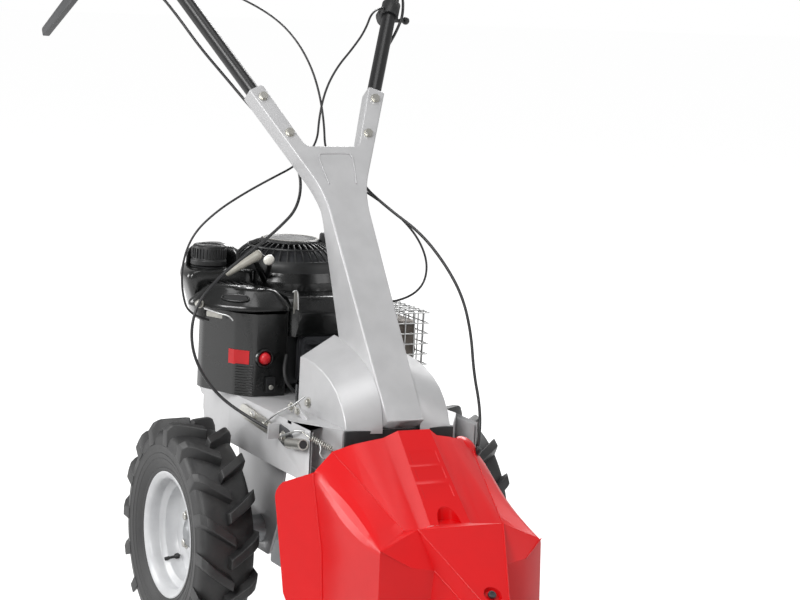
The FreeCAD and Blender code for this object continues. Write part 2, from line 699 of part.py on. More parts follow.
def engine_block():
    low = DECK_Z
    foot = rod(ENGINE_FOOT_R, (0, ENGINE_Y, low), (0, ENGINE_Y, low + 8))
    case = turned_z([(0, low), (CASE_R - 14, low), (CASE_R, low + 26, 12),
                     (CASE_R, CASE_TOP_Z - 22, 14), (CASE_R - 34, CASE_TOP_Z, 10),
                     (0, CASE_TOP_Z)], 0, ENGINE_Y)
    barrel = slab("xz", [(-CYL_HALF_W + 12, CYL_Z - 34, 16), (CYL_HALF_W - 12, CYL_Z - 34, 16),
                         (CYL_HALF_W - 12, CYL_Z + 34, 16), (-CYL_HALF_W + 12, CYL_Z + 34, 16)],
                  HEAD_Y + 24, ENGINE_Y - 40)
    fins = []
    y = HEAD_Y + 28
    while y < ENGINE_Y - CASE_R - 4:
        fins.append(fin(y))
        y += FIN_PITCH
    shape = fuse([foot, case, barrel, oil_filler()] + fins)
    bore = rod(CRANK_R + FIT, (0, ENGINE_Y, low - 1), (0, ENGINE_Y, CASE_TOP_Z + 1))
    holes = [rod(4.3, (x, y, low - 1), (x, y, low + 9)) for x, y in engine_bolt_places()]
    seats = [rod(9.5, (x, y, low + 8), (x, y, low + 30)) for x, y in engine_bolt_places()]
    return cut(shape, [bore] + holes + seats)


def fin(y):
    w = CYL_HALF_W
    h = CYL_HALF_H
    return slab("xz", [(-w, CYL_Z - h, 10), (w, CYL_Z - h, 10), (w, CYL_Z + h, 10),
                       (-w, CYL_Z + h, 10)], y, y + FIN_T)


def cylinder_head():
    plate = slab("xz", [(-CYL_HALF_W, CYL_Z - CYL_HALF_H, 14), (CYL_HALF_W, CYL_Z - CYL_HALF_H, 14),
                        (CYL_HALF_W, CYL_Z + CYL_HALF_H, 14), (-CYL_HALF_W, CYL_Z + CYL_HALF_H, 14)],
                 HEAD_Y + 14, HEAD_Y + 24)
    ribs = []
    for k in range(7):
        z = CYL_Z - 33 + 11 * k
        ribs.append(box(-CYL_HALF_W + 6, CYL_HALF_W - 6, HEAD_Y, HEAD_Y + 14, z - 1.4, z + 1.4))
    seat = rod(13, (0, HEAD_Y - 1, CYL_Z), (0, HEAD_Y + 14, CYL_Z))
    shape = fuse([plate, seat] + ribs)
    return cut(shape, [rod(7, (0, HEAD_Y - 2, CYL_Z), (0, HEAD_Y + 15, CYL_Z))])


def spark_plug():
    y = HEAD_Y
    return fuse([rod(6.8, (0, y + 14, CYL_Z), (0, y - 1, CYL_Z)),
                 hexagon(12, (0, y - 1, CYL_Z), (0, -1, 0), 8),
                 rod(6, (0, y - 9, CYL_Z), (0, y - 20, CYL_Z)),
                 rod(9.5, (0, y - 20, CYL_Z), (0, y - 44, CYL_Z))])


def blower_housing():
    """Fan shroud: a drum round the flywheel with a hollow nose over the cylinder."""
    t = SHROUD_T
    drum = turned_z([(0, SHROUD_Z0), (SHROUD_R, SHROUD_Z0), (SHROUD_R, SHROUD_Z1 - 20, 12),
                     (GRILLE_R + 3, SHROUD_Z1, 3), (0, SHROUD_Z1)], 0, ENGINE_Y)
    core = turned_z([(0, SHROUD_Z0 - 1), (SHROUD_R - t, SHROUD_Z0 - 1),
                     (SHROUD_R - t, SHROUD_Z1 - 22, 11), (GRILLE_R + 1, SHROUD_Z1 - t, 2),
                     (0, SHROUD_Z1 - t)], 0, ENGINE_Y)

    def nose(inset, low):
        w = SHROUD_NOSE_HALF - inset
        top = SHROUD_NOSE_Z - inset
        front = SHROUD_NOSE_Y + inset
        body = slab("yz", [(front + 6, low), (front, top - 26, 10), (front + 30, top, 16),
                           (ENGINE_Y, top + 8), (ENGINE_Y, low)], -w, w)
        plan = slab("xy", [(-w, front, 22), (w, front, 22), (w, ENGINE_Y), (-w, ENGINE_Y)],
                    low - 1, top + 40)
        return body.common(plan)
    guide = rod(ROPE_GUIDE_R, ROPE_GUIDE_FOOT, GRIP_BALL + rope_direction() * (STARTER_GRIP_R + FIT))
    outer = fuse([drum, nose(0, SHROUD_Z0), guide])
    inner = fuse([core, nose(t, SHROUD_Z0 - 1)])
    mouth = rod(GRILLE_R - 9, (0, ENGINE_Y, SHROUD_Z1 - 30), (0, ENGINE_Y, SHROUD_Z1 + 1))
    return outer.cut(inner).cut(mouth)


def starter_grille():
    """Dished grille over the flywheel, with rows of radial slots round a plain disc."""
    z0 = SHROUD_Z1
    top = GRILLE_TOP_Z
    t = 3.0
    shell = turned_z([(GRILLE_R - 10, z0), (GRILLE_R, z0), (GRILLE_R, z0 + 9, 4),
                      (GRILLE_DISC_R + 14, top - 4, 10), (GRILLE_DISC_R, top), (0, top),
                      (0, top - t), (GRILLE_DISC_R - 1, top - t),
                      (GRILLE_DISC_R + 12, top - 4 - t, 8), (GRILLE_R - 10, z0 + 9)], 0, ENGINE_Y)
    slots = []
    for k in range(GRILLE_SLOTS):
        slot = box(GRILLE_DISC_R + 5, GRILLE_R - 5, -2.6, 2.6, z0 + 3, top + 1)
        slot.rotate(V(0, 0, 0), V(0, 0, 1), (k + 0.5) * 360.0 / GRILLE_SLOTS)
        slot.translate(V(0, ENGINE_Y, 0))
        slots.append(slot)
    band = turned_z([(80, z0 + 22), (84, z0 + 22), (84, top + 2), (80, top + 2)], 0, ENGINE_Y)
    slots = [s.cut(band) for s in slots]
    return cut(shell, slots)


def flywheel():
    z0 = SHROUD_Z0 + 8
    disc = turned_z([(CRANK_R, z0), (FLYWHEEL_R - 12, z0), (FLYWHEEL_R - 12, z0 + 12),
                     (FLYWHEEL_R, z0 + 14), (FLYWHEEL_R, z0 + 22), (30, z0 + 22), (30, z0 + 34),
                     (CRANK_R, z0 + 34)], 0, ENGINE_Y)
    fins = []
    for k in range(FLYWHEEL_FINS):
        blade = box(44, FLYWHEEL_R - 2, -1.5, 1.5, z0 + 21, z0 + 52)
        blade.rotate(V(68, 0, 0), V(0, 0, 1), 24)
        blade.rotate(V(0, 0, 0), V(0, 0, 1), k * 360.0 / FLYWHEEL_FINS)
        blade.translate(V(0, ENGINE_Y, 0))
        fins.append(blade)
    return fuse([disc] + fins)


def filter_body(inset, low, high):
    """Filter box in plan; its front steps back beside the primer."""
    x0, x1 = FILTER_X
    y0, y1 = FILTER_Y
    i = inset
    return slab("xy", [(x0 + i, y0 + i, 26 - i), (-142, y0 + i, 4), (-134, y0 + 8 + i, 4),
                       (x1 - i, y0 + 8 + i, 10), (x1 - i, y1 - i, 8), (x0 + 14 + i, y1 - i, 22)],
                low, high)


def filter_housing():
    """Air cleaner and carburettor cover, hollow and open at the top under its lid."""
    y0 = FILTER_Y[0]
    z0, z1 = FILTER_Z
    t = FILTER_T
    shape = filter_body(0, z0, z1).cut(filter_body(t, z0 + t, z1 + 1))
    seat = rod(PRIMER_R + 7, (PRIMER_X, y0 + 2, PRIMER_Z), (PRIMER_X, y0 + 12, PRIMER_Z))
    shape = fuse([shape, seat])
    bore = rod(PRIMER_R + FIT, (PRIMER_X, y0 - 5, PRIMER_Z), (PRIMER_X, y0 + 14, PRIMER_Z))
    return cut(shape, [bore])


def filter_lid():
    x0, x1 = FILTER_X
    y0, y1 = FILTER_Y
    z0 = FILTER_Z[1]
    out = LID_LIP

    def plan(o, low, high):
        return slab("xy", [(x0 - 22 - o, y0 + 44, 40), (x0 + 34, y0 - 6 - o, 40),
                           (x1, y0 - 6 - o, 12), (x1, y1 - 1, 8),
                           (x0 + 10, y1 + o, 26)], low, high)
    lip = plan(out - 2, z0, z0 + 9)
    dome = plan(0, z0 + 8, z0 + LID_H)
    dome = dome.makeFillet(9, [e for e in dome.Edges if e.BoundBox.ZMin > z0 + LID_H - 1])
    louvres = [box(x0 + 48 + 11 * k, x0 + 53 + 11 * k, y0 + 28, y0 + 66, z0 + LID_H - 4,
                   z0 + LID_H + 2) for k in range(6)]
    inside = filter_body(FILTER_T + 1.5, z0 - 1, z0 + LID_H - 6)
    return cut(fuse([lip, dome]), louvres + [inside])


def fuel_tank():
    x0, x1 = TANK_X
    y0, y1 = TANK_Y
    z0, z1 = TANK_Z

    def body(i):
        block = slab("xy", [(x0 + 14 + i, y0 + 4 + i, 26 - i), (x1 - i, y0 + 4 + i, 10 - i),
                            (x1 - i, y1 - i, 20 - i), (x0 + i, y1 - 24 - i, 46 - i)],
                     z0 + i, z1 - i)
        top = [e for e in block.Edges if e.BoundBox.ZMin > z1 - i - 1]
        block = block.makeFillet(14 - i, top)
        return block.cut(rod(SHROUD_R + FIT + i, (0, ENGINE_Y, z0 - 5), (0, ENGINE_Y, z1 + 5)))
    x, y = CAP_POS
    neck = rod(CAP_R - 7, (x, y, z1 - 4), (x, y, z1 + 6))
    mouth = rod(CAP_R - 7 - TANK_T, (x, y, z1 - 10), (x, y, z1 + 7))
    return cut(fuse([body(0), neck]), [body(TANK_T), mouth])


def fuel_cap():
    x, y = CAP_POS
    z = TANK_Z[1] + FIT
    cup = turned_z([(0, z + 6 + FIT), (CAP_R - 7 + FIT, z + 6 + FIT), (CAP_R - 7 + FIT, z),
                    (CAP_R, z), (CAP_R, z + CAP_H - 5, 2), (CAP_R - 6, z + CAP_H, 3),
                    (0, z + CAP_H)], x, y)
    notches = [rod(2.2, (x + (CAP_R + 0.8) * cos(a), y + (CAP_R + 0.8) * sin(a), z - 1),
                   (x + (CAP_R + 0.8) * cos(a), y + (CAP_R + 0.8) * sin(a), z + CAP_H - 5))
               for a in [2 * pi * k / 18 for k in range(18)]]
    return cut(cup, notches)


def primer_bulb():
    y = FILTER_Y[0] + 2
    return fuse([rod(PRIMER_R, (PRIMER_X, y + 7, PRIMER_Z), (PRIMER_X, y - 4, PRIMER_Z)),
                 Part.makeSphere(PRIMER_R, V(PRIMER_X, y - 4, PRIMER_Z))])


def muffler():
    x0, x1 = MUFFLER_X
    y0, y1 = MUFFLER_Y
    z0, z1 = MUFFLER_Z
    t = MUFFLER_T
    case = slab("yz", [(y0, z0, 20), (y1, z0, 20), (y1, z1, 20), (y0, z1, 20)], x0, x1)
    room = slab("yz", [(y0 + t, z0 + t, 18), (y1 - t, z0 + t, 18), (y1 - t, z1 - t, 18),
                       (y0 + t, z1 - t, 18)], x0 + t, x1 - t)
    seam = slab("yz", [(y0 - 4, z0 - 4, 22), (y1 + 4, z0 - 4, 22), (y1 + 4, z1 + 4, 22),
                       (y0 - 4, z1 + 4, 22)], (x0 + x1) / 2 - 1.5, (x0 + x1) / 2 + 1.5)
    stub = rod(14, (CYL_HALF_W, y0 + 40, CYL_Z + 10), (x0 + 4, y0 + 40, CYL_Z + 10))
    outlet = pipe_piece(10, 8, (x1 - 2, y0 + 30, z0 + 24), (x1 + 12, y0 + 30, z0 + 24))
    bore = rod(8, (x1 - 10, y0 + 30, z0 + 24), (x1 + 13, y0 + 30, z0 + 24))
    return cut(fuse([case, seam, stub, outlet]), [room, bore])


def muffler_guard():
    """Welded wire cage round the muffler's outside, top and front, on two feet."""
    x1 = MUFFLER_X[1] + GUARD_GAP
    x0 = MUFFLER_X[0] + 10
    y0 = MUFFLER_Y[0] - GUARD_GAP
    y1 = MUFFLER_Y[1] + 8
    z0 = MUFFLER_Z[0] - 16
    z1 = MUFFLER_Z[1] + GUARD_GAP
    r = GUARD_WIRE_R
    over = 1.5 * r
    wires = []
    rows = int((z1 - z0) / GUARD_PITCH)
    for k in range(rows + 1):
        z = z0 + (z1 - z0) * k / rows
        wires.append(swept_corner([(x1, y1, z), (x1, y0, z), (x0, y0, z)], r))
    columns = int((y1 - y0) / GUARD_PITCH)
    for k in range(1, columns + 1):
        y = y0 + (y1 - y0) * k / columns
        wires.append(swept_corner([(x1 - over, y, z0 - r), (x1 - over, y, z1 + over),
                                   (x0, y, z1 + over)], r))
    uprights = int((x1 - x0) / GUARD_PITCH)
    for k in range(uprights):
        x = x0 + (x1 - x0) * (k + 0.5) / uprights
        wires.append(swept_corner([(x, y0 + over, z0 - r), (x, y0 + over, z1), (x, y1, z1)], r))
    for y in (y0 + 22, y1 - 16):
        wires.append(rod(2 * r, (x1 - over, y, DECK_Z + 1), (x1 - over, y, z0 + 10)))
        wires.append(box(x1 - 52, x1 + 2, y - 7, y + 7, DECK_Z, DECK_Z + 3))
    return fuse(wires)


def swept_corner(points, radius):
    """Wire bent at right angles, its corners mitred by balls."""
    pieces = [rod(radius, a, b) for a, b in zip(points, points[1:])]
    balls = [Part.makeSphere(radius, V(*p)) for p in points[1:-1]]
    return fuse(pieces + balls)


def rope_direction():
    """From the parked grip into the rope guide."""
    return (ROPE_GUIDE_FOOT - GRIP_BALL).normalize()


def starter_grip():
    """T-grip lying over the filter, its inner end parked on the rope guide."""
    r = STARTER_GRIP_R
    return fuse([rod(r, GRIP_TIP, GRIP_BALL), Part.makeSphere(r, GRIP_TIP),
                 Part.makeSphere(r, GRIP_BALL)])


def oil_filler():
    return fuse([rod(12, (70, ENGINE_Y + 62, 470), (92, ENGINE_Y + 112, 560)),
                 rod(15, (91, ENGINE_Y + 109.7, 556), (92, ENGINE_Y + 112, 560))])


# ------------------------------------------------------------------ handle

SLOPE = radians(COLUMN_SLOPE)
UP_COLUMN = V(0, cos(SLOPE), sin(SLOPE))
INTO_COLUMN = V(0, sin(SLOPE), -cos(SLOPE))


def on_column(u, v, w=0.0):
    """Point of the column: across, up the slope from its foot, and in from its front."""
    return COLUMN_FOOT + V(u, 0, 0) + UP_COLUMN * v + INTO_COLUMN * w


def arm_point(side, along, across=0.0, w=0.0):
    """Point of an arm: along its centre line from the crotch level, and across it."""
    s = sin(radians(SPLAY))
    c = cos(radians(SPLAY))
    return on_column(side * (ARM_ROOT_U + along * s + across * c), CROTCH_V + along * c - across * s,
                     w)


def column_corners(inset):
    """Corners of the Y-shaped front, half by half, with their radii."""
    wide = HANDLE_TUBE_R + COLUMN_SHEET + FIT - inset
    s = sin(radians(SPLAY))
    c = cos(radians(SPLAY))

    def arm(along, across):
        return (ARM_ROOT_U + along * s + across * c, CROTCH_V + along * c - across * s)
    root = arm(-92, wide)
    end_out = arm(ARM_LENGTH + inset, wide)
    end_in = arm(ARM_LENGTH + inset, -wide)
    drop = (CROTCH_V - inset - arm(0, -wide)[1]) / c
    crotch = arm(drop, -wide)
    half = [(FOOT_HALF_W - inset, inset, 0), (WAIST_HALF_W - inset, WAIST_V, 120),
            (root[0], root[1], 50), (end_out[0], end_out[1], 5), (end_in[0], end_in[1], 5),
            (crotch[0], crotch[1], 9)]
    return half


def column_solid(inset, w0, w1):
    corners = column_corners(inset)
    loop = corners + [(-u, v, r) for u, v, r in reversed(corners)]
    wire = corner_wire([(on_column(u, v, w0), r) for u, v, r in loop])
    return Part.Face(wire).extrude(INTO_COLUMN * (w1 - w0))


def handle_column():
    shell = column_solid(0, 0, DEEP).cut(column_solid(COLUMN_SHEET, COLUMN_SHEET, DEEP + 1))
    taper = [on_column(-300, -50, DEEP + 20), on_column(-300, -50, DEEP),
             on_column(-300, 150, DEEP), on_column(-300, 430, SHALLOW),
             on_column(-300, 900, SHALLOW), on_column(-300, 900, DEEP + 20)]
    tool = Part.Face(Part.makePolygon(taper + [taper[0]])).extrude(V(600, 0, 0))
    shell = shell.cut(tool)
    below = box(-100, 100, -500, 100, 300, DECK_Z)
    foot = box(-FOOT_HALF_W, FOOT_HALF_W, DECK_FRONT_Y + 6, DECK_FRONT_Y + 84, DECK_Z, DECK_Z + 4)
    shape = fuse([shell.cut(below), foot])
    drops = []
    for side in (-1, 1):
        cheek = slab("yz", [(DECK_FRONT_Y + 6, DECK_Z), (DECK_FRONT_Y + 84, DECK_Z),
                            (DECK_FRONT_Y + 96, 530), (DECK_FRONT_Y + 26, 512)],
                     side * (FOOT_HALF_W - COLUMN_SHEET / 2) - COLUMN_SHEET / 2,
                     side * (FOOT_HALF_W - COLUMN_SHEET / 2) + COLUMN_SHEET / 2)
        drops.append(cheek)
    shape = fuse([shape] + drops)
    holes = []
    for side in (-1, 1):
        for along in arm_bolt_places():
            holes.append(rod(ARM_BOLT_R, arm_point(side, along, 0, -5),
                             arm_point(side, along, 0, 60)))
    return cut(shape, holes)


def arm_bolt_places():
    c = cos(radians(SPLAY))
    return [(v - CROTCH_V) / c for v in ARM_BOLTS_V]


def handle_points(side):
    """Corner points of a handle tube's centre line."""
    w = COLUMN_SHEET + FIT / 2 + HANDLE_TUBE_R
    start = arm_point(side, 12, 0, w)
    bend = arm_point(side, (HANDLE_BEND_V - CROTCH_V) / cos(radians(SPLAY)), 0, w)
    rear = V(side * REAR_BEND.x, REAR_BEND.y, REAR_BEND.z)
    tilt = radians(GRIP_TILT)
    end = rear + V(0, cos(tilt), -sin(tilt)) * GRIP_RUN
    return [start, bend, rear, end]


def bent_tube(points, radius):
    """Tube of straight runs and generous bends of one radius."""
    bend_r = 85.0
    edges = []
    at = points[0]
    for before, p, after in zip(points, points[1:], points[2:]):
        a = (before - p).normalize()
        b = (after - p).normalize()
        half = acos(max(-1.0, min(1.0, a.dot(b)))) / 2
        back = bend_r / tan(half)
        middle = p + (a + b).normalize() * (bend_r / sin(half) - bend_r)
        edges.append(Part.LineSegment(at, p + a * back).toShape())
        edges.append(Part.Arc(p + a * back, middle, p + b * back).toShape())
        at = p + b * back
    edges.append(Part.LineSegment(at, points[-1]).toShape())
    path = Part.Wire(edges)
    section = Part.Wire(Part.makeCircle(radius, points[0], points[1] - points[0]))
    return Part.Solid(path.makePipeShell([section], True, True))


def handle_tube(side):
    points = handle_points(side)
    outer = bent_tube(points, HANDLE_TUBE_R)
    inner = bent_tube(points, HANDLE_TUBE_R - HANDLE_TUBE_WALL)
    shape = outer.cut(inner)
    holes = [rod(ARM_BOLT_R, arm_point(side, along, 0, -5), arm_point(side, along, 0, 60))
             for along in arm_bolt_places()]
    return cut(shape, holes)


def arm_bolts():
    solids = []
    for side in (-1, 1):
        for along in arm_bolt_places():
            head = arm_point(side, along, 0, -1.5)
            washer = rod(8.5, arm_point(side, along, 0, -1.5), arm_point(side, along, 0, 0))
            washer = washer.cut(rod(ARM_BOLT_R, arm_point(side, along, 0, -5),
                                    arm_point(side, along, 0, 60)))
            solids.append(fuse([bolt(ARM_BOLT_R, head, INTO_COLUMN, 38), washer]))
    return solids


def grip(side):
    """Ribbed rubber grip over the tube's end."""
    end = handle_points(side)[-1]
    tilt = radians(GRIP_TILT)
    along = V(0, cos(tilt), -sin(tilt))
    start = end - along * GRIP_LENGTH
    outer = rod(GRIP_R, start, end + along * 4)
    rings = [rod(GRIP_R + 1.2, start + along * (14 + 12 * k), start + along * (18 + 12 * k))
             for k in range(9)]
    collar = rod(GRIP_R + 4, start, start + along * 5)
    tip = Part.makeSphere(GRIP_R, end + along * 4)
    tip = tip.common(rod(GRIP_R + 1, end, end + along * 11))
    shape = fuse([outer, collar, tip] + rings)
    return cut(shape, [rod(HANDLE_TUBE_R, start - along * 2, end)])


def lever_clamp(side):
    """Middle of a lever's clamp on its tube, just ahead of the rear bend."""
    points = handle_points(side)
    back = (points[1] - points[2]).normalize()
    return points[2] + back * LEVER_BACK


def lever_pivot(side):
    return lever_clamp(side) + V(0, 0, LEVER_LIFT[side])


def lever_mount(side):
    """Clamp on the tube with a forked pivot boss below or above it."""
    centre = lever_clamp(side)
    pivot = lever_pivot(side)
    points = handle_points(side)
    along = (points[2] - points[1]).normalize()
    way = 1 if LEVER_LIFT[side] > 0 else -1
    across = V(LEVER_CHEEK, 0, 0)
    ring = rod(HANDLE_TUBE_R + 5, centre - along * 15, centre + along * 15)
    boss = rod(9, pivot - across, pivot + across)
    low, high = sorted((pivot.z, centre.z + 6 * way))
    neck = box(pivot.x - LEVER_CHEEK, pivot.x + LEVER_CHEEK, pivot.y - 9, pivot.y + 9, low, high)
    low, high = sorted((pivot.z - 11 * way, pivot.z + 30 * way))
    gap = box(pivot.x - LEVER_FORK, pivot.x + LEVER_FORK, pivot.y - 40, pivot.y + 40, low, high)
    bore = rod(HANDLE_TUBE_R, centre - along * 40, centre + along * 40)
    pin = rod(LEVER_PIN_R, pivot - across, pivot + across)
    return fuse([cut(fuse([ring, boss, neck]), [gap, bore]), pin])


def clutch_lever(side):
    """Hand lever: a thin root in the fork and a straight tapered sleeve."""
    pivot = lever_pivot(side)
    x, y, z = pivot
    root = slab("yz", [(y - 9, z - 9, 8), (y - 9, z + 9, 8), (y + 34, z + 9), (y + 34, z - 9)],
                x - 4, x + 4)
    sleeve = slab("yz", [(y + 26, z - LEVER_ROOT_H / 2, 4), (y + 26, z + LEVER_ROOT_H / 2, 4),
                         (y + LEVER_LENGTH, z + LEVER_TIP_H / 2, 5),
                         (y + LEVER_LENGTH, z - LEVER_TIP_H / 2, 5)], x - 6, x + 6)
    sleeve.rotate(V(x, y + 26, z), V(0, 0, 1), LEVER_TURN[side])
    blade = fuse([root, sleeve])
    blade = cut(blade, [rod(LEVER_PIN_R + FIT, pivot - V(20, 0, 0), pivot + V(20, 0, 0))])
    blade.rotate(pivot, V(1, 0, 0), LEVER_REST[side])
    return blade


def throttle_axis():
    """Centre of the throttle clamp on the left-hand tube, and the plane of its lever."""
    w = COLUMN_SHEET + FIT / 2 + HANDLE_TUBE_R
    return arm_point(1, THROTTLE_ALONG, 0, w), INTO_COLUMN


def throttle_mount():
    """Split clamp with a round lever housing behind the tube."""
    centre, out = throttle_axis()
    along = (arm_point(1, 10) - arm_point(1, 0)).normalize()
    ring = rod(HANDLE_TUBE_R + 4.5, centre - along * 16, centre + along * 16)
    face = HANDLE_TUBE_R + THROTTLE_T
    disc = rod(19, centre + out * (HANDLE_TUBE_R - 4), centre + out * face)
    pin = rod(4, centre + out * (face - 1), centre + out * (face + 11))
    shape = cut(fuse([ring, disc]), [rod(HANDLE_TUBE_R, centre - along * 20, centre + along * 20)])
    return fuse([shape, pin])


def throttle_lever():
    """Thumb lever on the housing's pin, with a rounded pad at its end."""
    centre, out = throttle_axis()
    low = HANDLE_TUBE_R + THROTTLE_T + FIT
    side = V(1, 0, 0)
    hub_piece = rod(14, centre + out * low, centre + out * (low + 8))
    blade = rod(4, centre + out * (low + 4), centre + out * (low + 4) + side * 44)
    pad = Part.makeSphere(7.5, centre + out * (low + 4) + side * 46)
    return cut(fuse([hub_piece, blade, pad]), [rod(4 + FIT, centre, centre + out * (low + 20))])


def clutch_arm():
    """Oval link on the frame's side that the drive cable pulls."""
    x = -DECK_HALF_FRONT - FIT
    y0, z0 = CLUTCH_PIVOT
    plate = slab("yz", [(y0 + 14, z0 + 12, 11), (y0 + 14, z0 - 12, 11),
                        (y0 - CLUTCH_ARM - 12, z0 - 13, 10), (y0 - CLUTCH_ARM - 12, z0 + 9, 10)],
                 x - 4, x)
    ends = [rod(5, (x - 9, y0 - CLUTCH_ARM, z0 - 2), (x - 3, y0 - CLUTCH_ARM, z0 - 2))]
    return cut(fuse([plate] + ends), [rod(4 + FIT, (x - 10, y0, z0), (x + 1, y0, z0))])


def clutch_pin():
    """Shouldered pin of the oval link, welded to the frame's side."""
    x = -DECK_HALF_FRONT
    y0, z0 = CLUTCH_PIVOT
    return fuse([rod(4, (x - 8, y0, z0), (x + 3, y0, z0)),
                 hexagon(7.6, (x - 4 - 2 * FIT, y0, z0), (-1, 0, 0), 5)])


# ------------------------------------------------------------------ covers

def belt_cover(side):
    """Half of the cover beside the column: a curved front, a flat cheek and a folded step."""
    def body(i):
        y0 = COVER_FRONT_Y + i
        y1 = COVER_REAR_Y
        z0 = DECK_Z
        z1 = COVER_TOP_Z - i
        profile = [V(0, y1, z0 - 1 if i else z0), V(0, y1, z1), V(0, y1 - 34, z1 + 6)]
        arc = Part.Arc(profile[2], V(0, y0 + 40, z1 - 22), V(0, y0, z0 + 6)).toShape()
        low = V(0, y0, z0 - 1 if i else z0)
        edges = [Part.LineSegment(profile[0], profile[1]).toShape(),
                 Part.LineSegment(profile[1], profile[2]).toShape(), arc,
                 Part.LineSegment(V(0, y0, z0 + 6), low).toShape(),
                 Part.LineSegment(low, profile[0]).toShape()]
        face = Part.Face(Part.Wire(edges))
        start = FOOT_HALF_W + COVER_GAP + i
        face.translate(V(start, 0, 0))
        wide = face.extrude(V(COVER_HALF_W - i - start, 0, 0))
        return wide
    shell = body(0).cut(body(COVER_T))
    return shell if side > 0 else mirrored(shell)


def hood_section(y, half):
    loop = [V(x, y, z) for x, z in half] + [V(-x, y, z) for x, z in reversed(half)]
    return Part.makePolygon(loop + [loop[0]])


def hood_solid(inset, bottom):
    """Faceted prow: wide wings at the back, narrowing to the nose."""
    i = inset
    stations = [
        (-255.0, [(206, 0), (198, 362), (166, 400), (134, 430), (60, 455), (28, 478)]),
        (-352.0, [(188, 0), (182, 346), (152, 372), (124, 402), (57, 438), (26, 460)]),
        (-512.0, [(153, 0), (150, 312), (122, 322), (94, 327), (60, 330), (30, 332)]),
        (-548.0, [(148, 0), (147, 300), (112, 318), (80, 333), (55, 335), (28, 336)]),
        (-662.0, [(104, 0), (98, 214), (76, 232), (52, 246), (38, 250), (22, 252)]),
        (-704.0, [(72, 0), (66, 180), (54, 192), (40, 200), (30, 204), (18, 206)]),
    ]
    wires = []
    for y, half in stations:
        low = [(half[0][0] - i, bottom)] + [(x - i * (0.9 if k == 0 else 0.5), z - i)
                                            for k, (x, z) in enumerate(half[1:])]
        wires.append(hood_section(y + (i if y < -700 else 0), low))
    return Part.makeLoft(wires, True, True)


def hood():
    outer = hood_solid(0, HOOD_BOTTOM_Z)
    inner = hood_solid(HOOD_T, HOOD_BOTTOM_Z - 5)
    shell = outer.cut(inner)
    # the top runs forward of the wings: its rear edge follows the foot of the column
    back = slab("xy", [(-167, -200), (-171, -322, 10), (-60, -350), (60, -350),
                       (171, -322, 10), (167, -200)], HOOD_BOTTOM_Z + 120, 520)
    wings = slab("yz", [(-200, 100), (-262, 240, 30), (-262, 372), (-240, 520), (-200, 520)],
                 -260, 260)
    return shell.cut(back).cut(wings)


# ------------------------------------------------------------------ cutter bar

def knife_teeth(z):
    teeth = []
    for k in range(KNIFE_COUNT):
        x = (k - (KNIFE_COUNT - 1) / 2) * KNIFE_PITCH
        half = KNIFE_PITCH / 2 - 1
        teeth.append(slab("xy", [(x - half, KNIFE_BAR_Y[1]), (x + half, KNIFE_BAR_Y[1]),
                                 (x + half, KNIFE_BAR_Y[0] - 8), (x + 9, KNIFE_TIP_Y, 3),
                                 (x - 9, KNIFE_TIP_Y, 3), (x - half, KNIFE_BAR_Y[0] - 8)],
                          z, z + KNIFE_T))
    return teeth


LOWER_Z = BEAM_Z + BEAM_T + SLIDE_GAP
LOWER_TEETH_Z = LOWER_Z + KNIFE_BAR_T
UPPER_TEETH_Z = LOWER_TEETH_Z + KNIFE_T + SLIDE_GAP
UPPER_BAR_Z = UPPER_TEETH_Z + KNIFE_T
UPPER_TOP_Z = UPPER_BAR_Z + KNIFE_BAR_T
HEAD_TOP_Z = ROCKER_Z - 4


def head_lugs(x, y, z0):
    """Two upright lugs with the rocker's pin between them."""
    gap = HEAD_PIN_R + HEAD_SLOT_GAP
    return [box(x - gap - 9, x - gap, y - 15, y + 15, z0, HEAD_TOP_Z),
            box(x + gap, x + gap + 9, y - 15, y + 15, z0, HEAD_TOP_Z)]


def knife_upper():
    bar = box(-KNIFE_HALF, KNIFE_HALF, KNIFE_BAR_Y[0], KNIFE_BAR_Y[1], UPPER_BAR_Z, UPPER_TOP_Z)
    y = UPPER_PIN_Y
    pad = box(-HEAD_X - 26, -HEAD_X + 26, y - 15, y + 15, UPPER_BAR_Z, UPPER_TOP_Z)
    return fuse([bar, pad] + knife_teeth(UPPER_TEETH_Z) + head_lugs(-HEAD_X, y, UPPER_TOP_Z - 1))


def knife_lower():
    bar = box(-KNIFE_HALF, KNIFE_HALF, KNIFE_BAR_Y[0], KNIFE_BAR_Y[1], LOWER_Z, LOWER_TEETH_Z)
    y = LOWER_PIN_Y
    pad = box(HEAD_X - 26, HEAD_X + 26, KNIFE_BAR_Y[1] - 1, y + 15, LOWER_Z, LOWER_TEETH_Z)
    return fuse([bar, pad] + knife_teeth(LOWER_TEETH_Z) + head_lugs(HEAD_X, y, LOWER_TEETH_Z - 1))


def cutter_beam():
    half = BAR_LENGTH / 2
    y0, y1 = BEAM_Y
    plan = [(-half, y0, 8), (half, y0, 8), (half, y1 - 14, 12), (TONGUE_HALF_W + 40, y1),
            (TONGUE_HALF_W, TONGUE_REAR_Y, 18), (-TONGUE_HALF_W, TONGUE_REAR_Y, 18),
            (-TONGUE_HALF_W - 40, y1), (-half, y1 - 14, 12)]
    plate = slab("xy", plan, BEAM_Z, BEAM_Z + BEAM_T)
    window = slab("xy", [(-46, -560, 14), (46, -560, 14), (46, -440, 14), (-46, -440, 14)],
                  BEAM_Z - 1, BEAM_Z + BEAM_T + 1)
    return plate.cut(window)


def guide_places():
    reach = BAR_LENGTH / 2 - 70
    return [-reach, -reach / 2, reach / 2, reach]


